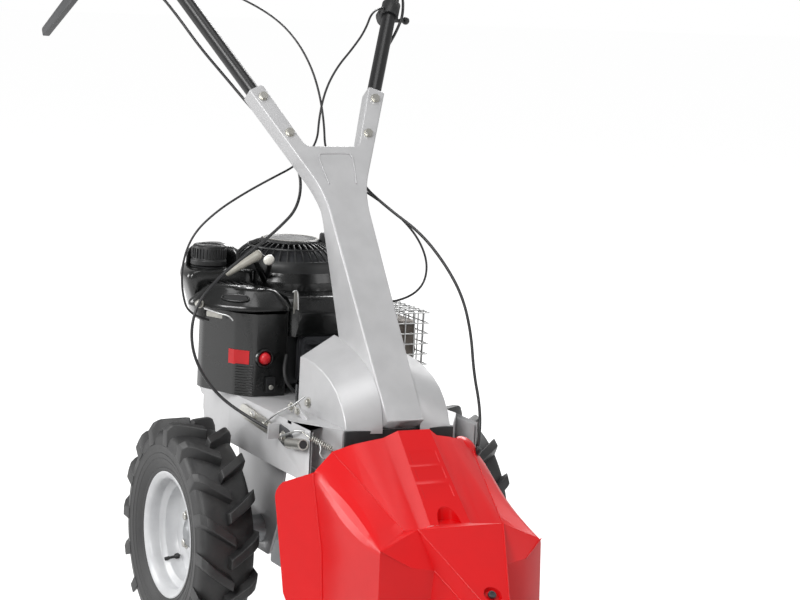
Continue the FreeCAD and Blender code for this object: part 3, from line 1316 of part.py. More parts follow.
def knife_guides():
    """Hold-down arms, bolted behind the knives and reaching over their bars."""
    solids = []
    top = UPPER_TOP_Z + SLIDE_GAP
    rear = KNIFE_BAR_Y[1] + 3
    for x in guide_places():
        arm = slab("yz", [(BEAM_Y[1] - 14, BEAM_Z + BEAM_T), (BEAM_Y[1] - 14, top + 6, 6),
                          (KNIFE_BAR_Y[0] - 30, top + 6, 4), (KNIFE_BAR_Y[0] - 34, top, 1),
                          (rear, top, 1), (rear, BEAM_Z + BEAM_T)], x - 14, x + 14)
        screw = hexagon(7.5, (x, (rear + BEAM_Y[1] - 14) / 2, top + 6), (0, 0, 1), 5)
        solids.append(fuse([arm, screw]))
    return Part.makeCompound(solids)


def skid(side):
    """Runner under the bar's end, turned up at the front and the back."""
    x = side * (BAR_LENGTH / 2 - SKID_W / 2)
    y0, y1 = SKID_Y
    t = SKID_T
    sole = slab("yz", [(y0, BEAM_Z - 2), (y0 + 32, 0, 28), (y1 - 44, 0, 34), (y1, BEAM_Z - 4),
                       (y1 - 3, BEAM_Z), (y1 - 46, t, 28), (y0 + 34, t, 22), (y0 + 3, BEAM_Z)],
                x - SKID_W / 2, x + SKID_W / 2)
    post = box(x - 14, x + 14, BEAM_Y[1] - 60, BEAM_Y[1] - 16, t - 1, BEAM_Z)
    return fuse([sole, post])


def cutter_gearbox():
    """Knife drive case on two feet, with the pivot pins of both rockers."""
    z0, z1 = DRIVE_Z
    case = turned_z([(0, z0), (DRIVE_R, z0), (DRIVE_R, z1 - 30, 14), (DRIVE_R - 26, z1, 10),
                     (0, z1)], 0, DRIVE_Y)
    plate = slab("xy", [(-106, -532, 16), (106, -532, 16), (106, -418, 16), (-106, -418, 16)],
                 z0, z0 + 12)
    flange = rod(NECK_R + 12, (0, DRIVE_Y + 30, NECK_Z), (0, DRIVE_Y + 62, NECK_Z))
    feet = [box(s * 92 - 12, s * 92 + 12, -468, -424, BEAM_Z + BEAM_T, z0 + 2) for s in (-1, 1)]
    ribs = [slab("xz", [(s * 50, z0 + 10), (s * 100, z0 + 10), (s * 50, z0 + 62)],
                 DRIVE_Y - 4, DRIVE_Y + 4) for s in (-1, 1)]
    pins = []
    for x in (-HEAD_X, HEAD_X):
        low = ROCKER_Z - ROCKER_NUT_DROP
        pins.append(rod(ROCKER_PIN_R, (x, ROCKER_Y, low), (x, ROCKER_Y, z0 + 2)))
        pins.append(hexagon(17, (x, ROCKER_Y, low - 8), (0, 0, 1), 8))
        pins.append(rod(ROCKER_HUB_R - 4, (x, ROCKER_Y, ROCKER_Z + ROCKER_T + ROCKER_COLLAR_RISE),
                        (x, ROCKER_Y, z0 + 2)))
    shape = fuse([case, plate, flange, drive_neck()] + feet + ribs + pins)
    shaft = rod(PTO_R + FIT, (0, DRIVE_Y + 20, NECK_Z), (0, DRIVE_Y + 70, NECK_Z))
    return cut(shape, [shaft])


def rocker(x, pin_y):
    """Swinging arm: hub on its pivot pin, flat arm, drive pin at the front end."""
    z0 = ROCKER_Z
    z1 = z0 + ROCKER_T
    hub_piece = rod(ROCKER_HUB_R, (x, ROCKER_Y, z0 - ROCKER_NUT_DROP + FIT),
                    (x, ROCKER_Y, z1 + ROCKER_COLLAR_RISE - FIT))
    arm = slab("xy", [(x - 17, ROCKER_Y), (x - 10, pin_y, 3), (x + 10, pin_y, 3),
                      (x + 17, ROCKER_Y)], z0, z1)
    end = rod(13, (x, pin_y, z0), (x, pin_y, z1))
    pin = rod(HEAD_PIN_R, (x, pin_y, UPPER_TOP_Z + 3), (x, pin_y, z0 + 2))
    shape = fuse([hub_piece, arm, end, pin])
    return cut(shape, [rod(ROCKER_PIN_R + FIT, (x, ROCKER_Y, z0 - 20), (x, ROCKER_Y, z1 + 20))])


def drive_neck():
    """Tube from the gearbox to the knife drive, bolted by a flange at each end."""
    y0 = DRIVE_Y + 62
    y1 = INPUT_Y - 40
    tube = rod(NECK_R, (0, y0, NECK_Z), (0, y1, NECK_Z))
    rings = [rod(NECK_R + 12, (0, y0, NECK_Z), (0, y0 + 10, NECK_Z)),
             rod(NECK_R + 12, (0, y1 - 10, NECK_Z), (0, y1, NECK_Z))]
    return fuse([tube] + rings).cut(rod(NECK_R - 7, (0, y0 - 1, NECK_Z), (0, y1 + 1, NECK_Z)))


def pto_shaft():
    return fuse([rod(PTO_R, (0, DRIVE_Y + 24, NECK_Z), (0, INPUT_Y - 10, NECK_Z)),
                 rod(PTO_R + 8, (0, -340, NECK_Z), (0, -300, NECK_Z))])


def main():
    os.makedirs("parts", exist_ok=True)
    save_wheels()
    save("chassis_frame", chassis_frame())
    save("gearbox_housing", gearbox_housing())
    save("fixing_bolts", Part.makeCompound(engine_bolts() + arm_bolts()))
    save("crankshaft", crankshaft())
    save("input_pulley", input_pulley())
    save("drive_belt", drive_belt())
    save("idler_arm", idler_arm())
    save("idler_wheel", idler_wheel())
    save("clutch_arm", clutch_arm())
    save("engine_block", engine_block())
    save("cylinder_head", cylinder_head())
    save("spark_plug", spark_plug())
    save("blower_housing", blower_housing())
    save("starter_grille", starter_grille())
    save("flywheel", flywheel())
    save("filter_housing", filter_housing())
    save("filter_lid", filter_lid())
    save("fuel_tank", fuel_tank())
    save("fuel_cap", fuel_cap())
    save("primer_bulb", primer_bulb())
    save("muffler", muffler())
    save("muffler_guard", muffler_guard())
    save("starter_grip", starter_grip())
    save("handle_column", handle_column())
    save("throttle_mount", throttle_mount())
    save("throttle_lever", throttle_lever())
    for side, word in ((-1, "right"), (1, "left")):
        save("handle_tube_" + word, handle_tube(side))
        save("grip_" + word, grip(side))
        save("lever_mount_" + word, lever_mount(side))
        save("clutch_lever_" + word, clutch_lever(side))
        save("skid_" + word, skid(side))
    save("belt_cover", Part.makeCompound([belt_cover(-1), belt_cover(1)]))
    save("hood", hood())
    save("knife_upper", knife_upper())
    save("knife_lower", knife_lower())
    save("cutter_beam", cutter_beam())
    save("knife_guides", knife_guides())
    save("cutter_gearbox", cutter_gearbox())
    save("rocker_upper", rocker(-HEAD_X, UPPER_PIN_Y))
    save("rocker_lower", rocker(HEAD_X, LOWER_PIN_Y))
    save("pto_shaft", pto_shaft())
    for name in ("drive_cable", "cutter_cable"):
        save(name, cable(name, THICK_CABLE_R))
    for name in ("throttle_cable", "brake_cable"):
        save(name, cable(name, THIN_CABLE_R))


main()
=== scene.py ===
import json
from math import cos, hypot, pi, radians, sin, tan

import bmesh
import bpy
from mathutils import Matrix, Vector

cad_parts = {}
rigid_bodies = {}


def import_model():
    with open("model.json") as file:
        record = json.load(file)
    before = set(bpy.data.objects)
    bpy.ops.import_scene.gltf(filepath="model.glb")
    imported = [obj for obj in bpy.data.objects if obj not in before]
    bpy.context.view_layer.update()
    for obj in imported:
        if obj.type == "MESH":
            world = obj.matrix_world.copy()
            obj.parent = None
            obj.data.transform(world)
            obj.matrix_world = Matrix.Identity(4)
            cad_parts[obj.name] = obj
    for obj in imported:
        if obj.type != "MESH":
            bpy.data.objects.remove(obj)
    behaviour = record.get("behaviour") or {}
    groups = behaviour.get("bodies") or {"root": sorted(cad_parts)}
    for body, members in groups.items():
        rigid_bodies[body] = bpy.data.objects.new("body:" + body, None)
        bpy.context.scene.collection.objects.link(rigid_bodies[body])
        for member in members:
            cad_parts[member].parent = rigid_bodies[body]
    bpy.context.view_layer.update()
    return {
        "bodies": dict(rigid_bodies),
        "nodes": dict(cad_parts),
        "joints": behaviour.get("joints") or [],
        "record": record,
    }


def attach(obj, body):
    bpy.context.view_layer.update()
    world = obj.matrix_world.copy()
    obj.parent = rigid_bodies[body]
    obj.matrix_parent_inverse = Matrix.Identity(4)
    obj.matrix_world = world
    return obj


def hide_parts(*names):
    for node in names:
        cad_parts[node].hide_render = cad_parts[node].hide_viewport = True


# Walk-behind brush mower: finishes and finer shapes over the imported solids, in metres.
# -Y is the front, +X the operator's left.

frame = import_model()
NODES = frame["nodes"]
BODY = {n: b for b, ns in frame["record"]["behaviour"]["bodies"].items() for n in ns}
MM = 0.001
AXLE_Y = -0.0474


# ------------------------------------------------------------------ materials

def colour(code, alpha=1.0):
    """sRGB hex to linear."""
    parts = [int(code[k:k + 2], 16) / 255 for k in (1, 3, 5)]
    return tuple(c / 12.92 if c <= 0.04045 else ((c + 0.055) / 1.055) ** 2.4 for c in parts) + (alpha,)


def add(tree, kind, settings=None, **inputs):
    """One node with its settings; an input is a value or the socket that feeds it."""
    node = tree.nodes.new(kind)
    for key, value in (settings or {}).items():
        setattr(node, key, value)
    for key, value in inputs.items():
        socket = node.inputs[int(key[1:])] if key[0] == "i" and key[1:].isdigit() else \
            node.inputs[key.replace("_", " ")]
        if isinstance(value, bpy.types.NodeSocket):
            tree.links.new(value, socket)
        else:
            socket.default_value = value
    return node


def finish(name, base, second, rough, rough_spread, cloud_mm, grain_mm, bump, metallic=0.0,
           stretch=(1, 1, 1), bump_mm=0.2, **sockets):
    """Surface with slow colour clouds, a roughness that wanders with them, and a fine grain."""
    mat = bpy.data.materials.new(name)
    mat.use_nodes = True
    tree = mat.node_tree
    shader = tree.nodes["Principled BSDF"]
    place = add(tree, "ShaderNodeTexCoord").outputs["Object"]
    drawn = add(tree, "ShaderNodeMapping", Vector=place, Scale=stretch).outputs[0]
    cloud = add(tree, "ShaderNodeTexNoise", Vector=place, Scale=1 / (cloud_mm * MM), Detail=3.0,
                Roughness=0.6).outputs["Fac"]
    grain = add(tree, "ShaderNodeTexNoise", Vector=drawn, Scale=1 / (grain_mm * MM), Detail=2.0,
                Roughness=0.5).outputs["Fac"]
    tint = add(tree, "ShaderNodeValToRGB", Fac=cloud)
    tint.color_ramp.elements[0].position = 0.35
    tint.color_ramp.elements[1].position = 0.68
    tint.color_ramp.elements[0].color = colour(base)
    tint.color_ramp.elements[1].color = colour(second)
    tree.links.new(tint.outputs[0], shader.inputs["Base Color"])
    both = add(tree, "ShaderNodeMath", {"operation": "MULTIPLY_ADD"}, i0=grain, i1=0.5, i2=cloud)
    gloss = add(tree, "ShaderNodeMapRange", Value=both.outputs[0], From_Min=0.4, From_Max=1.1,
                To_Min=rough - rough_spread, To_Max=rough + rough_spread)
    tree.links.new(gloss.outputs[0], shader.inputs["Roughness"])
    relief = add(tree, "ShaderNodeBump", Strength=bump, Distance=bump_mm * MM, Height=grain)
    tree.links.new(relief.outputs[0], shader.inputs["Normal"])
    shader.inputs["Metallic"].default_value = metallic
    for key, value in sockets.items():
        shader.inputs[key.replace("_", " ")].default_value = value
    return mat


# Injection-moulded ABS, polished tool: deep red with a faint ripple of flow.
RED_ABS = finish("gloss_red_ABS", "#D4090F", "#CB070D", 0.34, 0.04, 120, 3.0, 0.02, IOR=1.45,
                 Coat_Weight=0.05, Coat_Roughness=0.15, Specular_IOR_Level=0.4)
# Polyester powder coat with aluminium flake: light silver-grey, soft sheen, fine orange peel.
SILVER_POWDER = finish("silver_powder_coat", "#B8B8B9", "#C0C0C1", 0.40, 0.05, 60, 1.6, 0.10,
                       metallic=0.30, IOR=1.5)
# Enamelled wheel steel: paler and glossier than the frame, with dulled patches.
WHEEL_ENAMEL = finish("wheel_enamel", "#C2C3C5", "#CFD0D1", 0.34, 0.08, 45, 2.0, 0.08, IOR=1.5)
# Powder-coated tube: near black, eggshell sheen.
DARK_POWDER = finish("dark_grey_powder_coat", "#323335", "#3B3C3E", 0.44, 0.06, 40, 1.2, 0.12, IOR=1.5)
# Glass-filled nylon with a spark-eroded grain: matt black that breaks the light.
TUBE_ENAMEL = finish("black_tube_enamel", "#151516", "#1B1B1C", 0.34, 0.05, 40, 1.4, 0.08, IOR=1.5)
BLACK_NYLON = finish("textured_black_nylon", "#0E0F10", "#151617", 0.46, 0.07, 30, 0.9, 0.25, IOR=1.53)
# Smooth black moulding of the filter lid and shroud: sharp highlights.
BLACK_GLOSS = finish("smooth_black_moulding", "#090A0A", "#0F1010", 0.25, 0.06, 35, 2.2, 0.06, IOR=1.52,
                     Coat_Weight=0.2, Coat_Roughness=0.15)
# Vulcanised tyre rubber with a trace of dust: greys out where the clouds are.
TYRE_RUBBER = finish("tyre_rubber", "#1E1E1F", "#2D2D2D", 0.52, 0.10, 28, 1.1, 0.35, IOR=1.52,
                     bump_mm=0.4)
# Soft grip and bulb rubbers.
GRIP_RUBBER = finish("soft_black_rubber", "#161617", "#1E1E1F", 0.62, 0.08, 14, 0.8, 0.30, IOR=1.52)
RED_RUBBER = finish("soft_red_rubber", "#C51620", "#D2202A", 0.34, 0.05, 9, 0.8, 0.10, IOR=1.52)
# Belt rubber, also the dark fill for painted shade in the gap behind the hood and in the stop tube's bore.
BELT_RUBBER_AND_PAINTED_SHADE = finish("belt_rubber", "#1A1A1B", "#252526", 0.72, 0.08, 12, 0.7, 0.40, IOR=1.52)
SHEATH = finish("PVC_cable_sheath", "#131315", "#1B1B1D", 0.40, 0.06, 10, 0.6, 0.10, IOR=1.53)
# Aged pale nylon of the starter grip.
PALE_NYLON = finish("pale_grey_nylon", "#8F8C83", "#A5A299", 0.40, 0.07, 12, 0.8, 0.12, IOR=1.53)
# Clear-passivated zinc: bright with a faint warm bloom.
ZINC = finish("passivated_zinc", "#C9C7BF", "#B7B6B2", 0.33, 0.10, 5, 0.5, 0.10, metallic=1.0)
# Turned and ground steel.
TURNED_STEEL = finish("turned_steel", "#A5A6A8", "#8F9093", 0.32, 0.08, 14, 0.35, 0.15, metallic=1.0)
KNIFE_STEEL = finish("ground_knife_steel", "#A9ABAE", "#8D8F93", 0.30, 0.10, 22, 0.5, 0.25, metallic=1.0,
                     stretch=(0.04, 1, 1))
# Gravity-cast aluminium, shot-blasted: matt, pitted.
CAST_ALLOY = finish("shot_blasted_aluminium_casting", "#8B8D8F", "#9C9EA0", 0.55, 0.08, 18, 1.3, 0.45,
                    metallic=0.85, bump_mm=0.3)
DARK_ALLOY = finish("blackened_aluminium_casting", "#26272A", "#313235", 0.55, 0.08, 18, 1.2, 0.45,
                    metallic=0.35, bump_mm=0.3)
# Aluminised silencer sheet, browned by heat.
HOT_STEEL = finish("heat_browned_sheet", "#6A645E", "#4E4843", 0.50, 0.10, 24, 0.9, 0.15, metallic=0.8)
# Zinc-plated wire.
BRIGHT_WIRE = finish("plated_wire", "#B5B6B6", "#C6C6C5", 0.34, 0.08, 8, 0.4, 0.08, metallic=0.9)
# Brushed-on dark enamel of the bar.
BAR_ENAMEL = finish("dark_bar_enamel", "#2A2B2D", "#343537", 0.42, 0.10, 30, 1.6, 0.20, IOR=1.5)
GLAZE = finish("white_glazed_ceramic", "#E6E3DA", "#EEECE4", 0.15, 0.04, 10, 1.5, 0.03, IOR=1.55)
LABEL_RED = finish("red_label_film", "#B80A12", "#BF0D16", 0.42, 0.04, 20, 1.2, 0.03, IOR=1.5)


# ------------------------------------------------------------------ making pieces

def object_from(bm, name, smooth=True):
    mesh = bpy.data.meshes.new(name)
    bm.to_mesh(mesh)
    bm.free()
    for face in mesh.polygons:
        face.use_smooth = smooth
    obj = bpy.data.objects.new(name, mesh)
    bpy.context.scene.collection.objects.link(obj)
    return obj


def bevelled(obj, width, angle=35, segments=2):
    mod = obj.modifiers.new("edge", "BEVEL")
    mod.width = width
    mod.segments = segments
    mod.limit_method = "ANGLE"
    mod.angle_limit = radians(angle)
    mod.harden_normals = True
    return obj


def done(obj, body, material, stands_for=()):
    """Finish and body of a piece; the parts it stands for are hidden."""
    obj.data.materials.clear()
    obj.data.materials.append(material)
    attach(obj, body)
    if stands_for:
        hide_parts(*stands_for)
    return obj


def softened(node, material, width_mm=0.8, angle=35, segments=2):
    """The node's own shape, its edges rounded as the real one's are."""
    bm = bmesh.new()
    bm.from_mesh(NODES[node].data)
    bmesh.ops.remove_doubles(bm, verts=bm.verts, dist=0.00002)
    bmesh.ops.dissolve_limit(bm, angle_limit=radians(1.2), verts=bm.verts, edges=bm.edges)
    obj = object_from(bm, node + "_shape")
    bevelled(obj, width_mm * MM, angle, segments)
    return done(obj, BODY[node], material, (node,))


def painted(node, material):
    """The node as it is, with its finish."""
    obj = NODES[node]
    obj.data.materials.clear()
    obj.data.materials.append(material)


for name, material, width in (
        ("blower_housing", BLACK_GLOSS, 1.5),
        ("engine_block", DARK_ALLOY, 0.6), ("cylinder_head", DARK_ALLOY, 0.6),
        ("gearbox_housing", CAST_ALLOY, 1.5), ("cutter_gearbox", CAST_ALLOY, 1.2),
        ("muffler", HOT_STEEL, 1.0), ("cutter_beam", BAR_ENAMEL, 1.0),
        ("knife_guides", BAR_ENAMEL, 0.8), ("skid_left", DARK_POWDER, 1.0),
        ("skid_right", DARK_POWDER, 1.0), ("lever_mount_left", BLACK_NYLON, 0.8),
        ("lever_mount_right", BLACK_NYLON, 0.8), ("throttle_mount", BLACK_NYLON, 0.8),
        ("throttle_lever", BLACK_NYLON, 0.8), ("clutch_lever_left", DARK_POWDER, 1.2),
        ("clutch_lever_right", DARK_POWDER, 1.2), ("grip_left", GRIP_RUBBER, 0.8),
        ("grip_right", GRIP_RUBBER, 0.8),
        ("rocker_upper", TURNED_STEEL, 0.8), ("rocker_lower", TURNED_STEEL, 0.8)):
    softened(name, material, width)

for name, material in (
        ("crankshaft", TURNED_STEEL), ("input_pulley", TURNED_STEEL), ("pto_shaft", TURNED_STEEL),
        ("flywheel", CAST_ALLOY), ("idler_arm", ZINC), ("idler_wheel", TURNED_STEEL),
        ("drive_belt", BELT_RUBBER_AND_PAINTED_SHADE), ("fixing_bolts", ZINC),
        ("spark_plug", GLAZE), ("muffler_guard", BRIGHT_WIRE),
        ("handle_tube_left", TUBE_ENAMEL), ("handle_tube_right", TUBE_ENAMEL),
        ("knife_upper", KNIFE_STEEL), ("knife_lower", KNIFE_STEEL)):
    painted(name, material)


# ------------------------------------------------------------------ hood

def at(x, y, z):
    """Point in millimetres from the spot on the ground under the axle's middle."""
    return Vector((x * MM, y * MM + AXLE_Y, z * MM))


def lerp(a, b, t):
    return tuple(p + (q - p) * t for p, q in zip(a, b))


def face(bm, points, mirrored=True):
    """A face through points in millimetres, and its twin on the other side."""
    bm.faces.new([bm.verts.new(at(*p)) for p in points])
    if mirrored:
        bm.faces.new([bm.verts.new(at(-x, y, z)) for x, y, z in reversed(points)])


def grid(bm, rows, mirrored=True):
    for low, high in zip(rows, rows[1:]):
        for a, b, c, d in zip(low, low[1:], high[1:], high):
            face(bm, (a, b, c, d), mirrored)


RIM_TOP = (30, -357, 458)          # corner of the ladder panel at the rear rim
LADDER_FOOT = (37, -503, 331)
BAND_TOP = (51, -345, 444)         # inner edge of the recessed band
BAND_FOOT = (58, -510, 324.5)
BAND_OUT = (76.5, -340, 439)
CORNER = (91.4, -515, 328.6)       # where the band and the crease meet
RIM_MIDDLE = (104, -332, 432)
SHOULDER = (132, -319, 419)
NOTCH = (164, -316, 384)
FOLD_MIDDLE = (161, -357.5, 260)
FOLD_FOOT = (163.4, -380, 134)
EAR = (149, -546, 307)
EAR_MIDDLE = (150, -551, 210)
EAR_FOOT = (151, -555, 118)
PANEL_TOP = (79, -539, 336)
PANEL_FOOT = (16, -685, 232.2)
CHIN = ((149, -546, 307), (105.7, -572.8, 283.3), (66, -578, 277), (48, -620, 247.5), (19, -688, 199))
CHIN_FOOT = ((151, -555, 118), (112, -583, 118), (84, -588, 118), (66, -640, 118), (26, -704, 118))
RUNGS = ((0.22, 0.36), (0.39, 0.53), (0.575, 0.72))
POCKET = (20.8, 27.0)              # half width and run of the arched pocket
DIMPLE = (-655.0, 15.5, 7.0)       # place, radius and depth of the round recess
CREASE = 2.6                       # radius-like width of the moulded creases
RIM_ROUND = 15.0                   # of the upright corner under each ear


def side_profile(s):
    """Section of the hood's flank, from its upper crease down to the foot."""
    top = lerp(SHOULDER, CORNER, s)
    swell = 2 * sin(pi * s)
    bend = lerp(NOTCH, EAR, s)
    bend = (bend[0] + swell, bend[1], bend[2] + swell)
    middle = lerp(FOLD_MIDDLE, EAR_MIDDLE, s)
    middle = (middle[0] + 1.5 * swell, middle[1], middle[2])
    foot = lerp(FOLD_FOOT, EAR_FOOT, s)
    foot = (foot[0] + swell, foot[1], foot[2])
    reach = 8 + 36 * sin(pi * s)
    a = lerp(bend, top, reach / (Vector(top) - Vector(bend)).length)
    b = lerp(bend, middle, reach / (Vector(middle) - Vector(bend)).length)
    soft = [lerp(lerp(a, bend, t), lerp(bend, b, t), t) for t in (0, 0.2, 0.4, 0.6, 0.8, 1)]
    return [top, lerp(top, a, 0.5)] + soft + [lerp(b, middle, 0.5), middle, lerp(middle, foot, 0.5), foot]


def ladder(t, x):
    """Point of the ladder panel, t from the rear rim to its foot, x in half widths."""
    p = lerp(RIM_TOP, LADDER_FOOT, t)
    return (p[0] * x, p[1], p[2])


def hood():
    bm = bmesh.new()
    # ladder panel with its three sunk rungs and the arched pocket at its foot
    down = (0, -3.0, -3.6)
    marks = [0] + [v for pair in RUNGS for v in pair]
    for low, high in zip(marks, marks[1:]):
        frame = [ladder(low, -1), ladder(high, -1), ladder(high, 1), ladder(low, 1)]
        if (low, high) not in RUNGS:
            face(bm, frame, False)
            continue
        lip = [ladder(low, -0.8), ladder(high, -0.8), ladder(high, 0.8), ladder(low, 0.8)]
        sunk = [tuple(p + q for p, q in zip(v, down)) for v in
                (ladder(low + 0.012, -0.76), ladder(high - 0.012, -0.76), ladder(high - 0.012, 0.76),
                 ladder(low + 0.012, 0.76))]
        face(bm, (frame[0], frame[1], lip[1], lip[0]), False)
        face(bm, (lip[3], lip[2], frame[2], frame[3]), False)
        for k in range(4):
            n = (k + 1) % 4
            face(bm, (lip[k], lip[n], sunk[n], sunk[k]), False)
        face(bm, sunk, False)
    slope = (LADDER_FOOT[2] - RIM_TOP[2]) / (LADDER_FOOT[1] - RIM_TOP[1])
    arch = []
    for k in range(13):
        turn = pi * k / 12
        rise = POCKET[1] * sin(turn)
        arch.append((-POCKET[0] * cos(turn), LADDER_FOOT[1] + rise, LADDER_FOOT[2] + rise * slope))
    floor = [(x, y, LADDER_FOOT[2]) for x, y, z in arch]
    face(bm, [ladder(marks[-1], -1), ladder(1, -1)] + arch + [ladder(1, 1), ladder(marks[-1], 1)], False)
    for k in range(12):
        if k in (0, 11):
            top = arch[k:k + 2] + ([floor[1]] if k == 0 else [floor[11]])
            face(bm, top, False)
        else:
            face(bm, (arch[k], arch[k + 1], floor[k + 1], floor[k]), False)
    face(bm, floor, False)
    # strip, level band, upper facet
    round_end = [(66, -519, 322.5), (79, -521, 324.5)]
    face(bm, (RIM_TOP, ladder(RUNGS[0][0], 1), ladder(RUNGS[0][1], 1), ladder(RUNGS[1][0], 1),
              ladder(RUNGS[1][1], 1), ladder(RUNGS[2][0], 1), ladder(RUNGS[2][1], 1), LADDER_FOOT,
              BAND_FOOT, BAND_TOP))
    face(bm, [BAND_TOP, BAND_FOOT] + round_end + [CORNER, BAND_OUT])
    flank = [side_profile(k / 10) for k in range(11)]
    crease = [row[0] for row in flank]
    for a, b in zip(crease[:5], crease[1:6]):
        face(bm, (RIM_MIDDLE, b, a))
    face(bm, [RIM_MIDDLE, BAND_OUT] + crease[:4:-1])
    grid(bm, flank)
    # valley behind the front panel's upper edge
    face(bm, ((0, -503, 331), (POCKET[0], -503, 331), LADDER_FOOT, BAND_FOOT, round_end[0],
              round_end[1], CORNER, PANEL_TOP, (0, -539, 336)))
    # front panel with the round recess
    dy, dz = PANEL_FOOT[1] - PANEL_TOP[1], PANEL_FOOT[2] - PANEL_TOP[2]
    run = hypot(dy, dz)
    place, radius, depth = DIMPLE
    centre = (0, place, PANEL_TOP[2] + (place - PANEL_TOP[1]) * dz / dy)
    inward = (0, -dz / run, dy / run)
    ring = []
    for k in range(13):
        turn = pi * k / 12
        c, s = cos(turn), sin(turn)
        ring.append((radius * s, centre[1] - radius * c * dy / run, centre[2] - radius * c * dz / run))
    sunk = [(x * 0.8, y + (centre[1] - y) * 0.2 + inward[1] * depth,
             z + (centre[2] - z) * 0.2 + inward[2] * depth) for x, y, z in ring]
    face(bm, [(0, PANEL_TOP[1], PANEL_TOP[2]), PANEL_TOP, PANEL_FOOT, (0, PANEL_FOOT[1], PANEL_FOOT[2])]
         + ring[::-1])
    for k in range(12):
        face(bm, (ring[k], ring[k + 1], sunk[k + 1], sunk[k]))
    face(bm, sunk)
    # facets between the panel and the chin, and the walls below
    side = flank[-1]
    face(bm, (PANEL_TOP, CORNER, side[1]))
    face(bm, [PANEL_TOP] + side[1:6])
    face(bm, (PANEL_TOP, side[5], CHIN[1]))
    face(bm, (PANEL_TOP, CHIN[1], CHIN[2]))
    face(bm, (PANEL_TOP, CHIN[2], PANEL_FOOT))
    face(bm, (PANEL_FOOT, CHIN[2], CHIN[3]))
    face(bm, (PANEL_FOOT, CHIN[3], CHIN[4]))
    face(bm, (PANEL_FOOT, CHIN[4], (0, CHIN[4][1] - 3, CHIN[4][2])))
    face(bm, (PANEL_FOOT, (0, CHIN[4][1] - 3, CHIN[4][2]), (0, PANEL_FOOT[1], PANEL_FOOT[2])))
    face(bm, side[5:] + [CHIN_FOOT[1], CHIN[1]])
    for k in (1, 2, 3):
        face(bm, (CHIN[k], CHIN_FOOT[k], CHIN_FOOT[k + 1], CHIN[k + 1]))
    face(bm, (CHIN[4], CHIN_FOOT[4], (0, CHIN_FOOT[4][1] - 3, 118), (0, CHIN[4][1] - 3, CHIN[4][2])))
    # wings
    outer = [(194.9, -264.7, 358.3), (199.5, -259, 351), (202.5, -255, 342), (203.8, -254, 332),
             (203, -277, 255), (202.2, -300, 176), (199.5, -308, 163), (194, -319, 154), (186, -333, 148)]
    face(bm, flank[0][4:] + outer[::-1])
    bmesh.ops.remove_doubles(bm, verts=bm.verts, dist=0.0002)
    bmesh.ops.recalc_face_normals(bm, faces=bm.faces)
    if sum(f.normal.z for f in bm.faces if f.calc_center_median().z > 0.3) < 0:
        bmesh.ops.reverse_faces(bm, faces=bm.faces)
    def places(edge):
        return [v.co / MM - Vector((0, AXLE_Y / MM, 0)) for v in edge.verts]

    corner = [e for e in bm.edges if all(148 < abs(p.x) < 152 and -556 < p.y < -545 and p.z < 307.5
                                         for p in places(e))]
    bmesh.ops.bevel(bm, geom=corner, offset=RIM_ROUND * MM, segments=6, profile=0.5, affect="EDGES",
                    clamp_overlap=True)
    corner_top = Vector(PANEL_TOP)
    for pick in (lambda a, b: a.y > -506 and b.y > -506, lambda a, b: a.y < -506 and b.y < -506):
        broad = []
        for edge in bm.edges:
            if len(edge.link_faces) != 2 or edge.calc_face_angle(0) < radians(10):
                continue
            a, b = places(edge)
            fan = min((Vector((abs(v.x), v.y, v.z)) - corner_top).length for v in (a, b)) < 3 and \
                max(abs(a.x), abs(b.x)) > 95 and max(a.z, b.z) > 300
            small = max(abs(a.x), abs(b.x)) < 29.5 and max(a.y, b.y) < -370 and min(a.y, b.y) > -504
            small = small or (max(abs(a.x), abs(b.x)) < 16.5 and max(a.y, b.y) < -630)
            if pick(a, b) and not fan and not small and (b - a).length > 12:
                broad.append(edge)
        bmesh.ops.bevel(bm, geom=broad, offset=CREASE * MM, segments=3, profile=0.5, affect="EDGES",
                        clamp_overlap=True, loop_slide=True)
    bmesh.ops.remove_doubles(bm, verts=bm.verts, dist=0.00005)
    bmesh.ops.recalc_face_normals(bm, faces=bm.faces)
    if sum(f.normal.z for f in bm.faces if f.calc_center_median().z > 0.3) < 0:
        bmesh.ops.reverse_faces(bm, faces=bm.faces)
    obj = object_from(bm, "hood_shell")
    wall = obj.modifiers.new("wall", "SOLIDIFY")
    wall.thickness = 3.0 * MM
    wall.offset = -1
    wall.use_even_offset = True
    bevelled(obj, 0.7 * MM, 25, 2)
    smooth = obj.modifiers.new("even", "WEIGHTED_NORMAL")
    smooth.keep_sharp = True
    done(obj, "chassis", RED_ABS, ("hood",))
    lathe("hood_bolt", [(0, 0), (7, 0), (7, 3.6), (5.8, 5), (3.4, 5), (3.0, 3.4), (0, 3.4)],
          (0, -651.4, 250.8), (0, -0.58, 0.815), "chassis", DARK_POWDER, steps=24, edge=0.4)
    lathe("cable_fairing", [(0, 9), (8, 8.4), (15, 6.4), (20, 3), (23, -1), (23, -5)], (124, -322, 417),
          (0.45, -0.45, 0.77), "chassis", RED_ABS, steps=40, edge=0.4)
    lathe("cable_inlet", [(0, 3), (4.4, 3), (6, 1), (6.6, -3), (6.6, -10)], (142, -333, 412),
          (0.35, -0.45, 0.8), "chassis", BLACK_NYLON, steps=32, edge=0.4)
    # moulded beads along the main creases
    fold = flank[0][5:]
    for name, line, radius in (("shoulder", (SHOULDER, CORNER), 1.1), ("panel", (PANEL_TOP, PANEL_FOOT), 1.4),
                               ("prow", CHIN[2:], 1.3), ("ear", (EAR, CHIN[1]), 1.0),
                               ("wing", fold, 2.2)):
        for side, word in ((-1, "right"), (1, "left")):
            wire("hood_bead_%s_%s" % (name, word), [(x * side, y, z) for x, y, z in line], radius,
                 "chassis", RED_ABS, soft=False)


# ------------------------------------------------------------------ shapes that pieces share

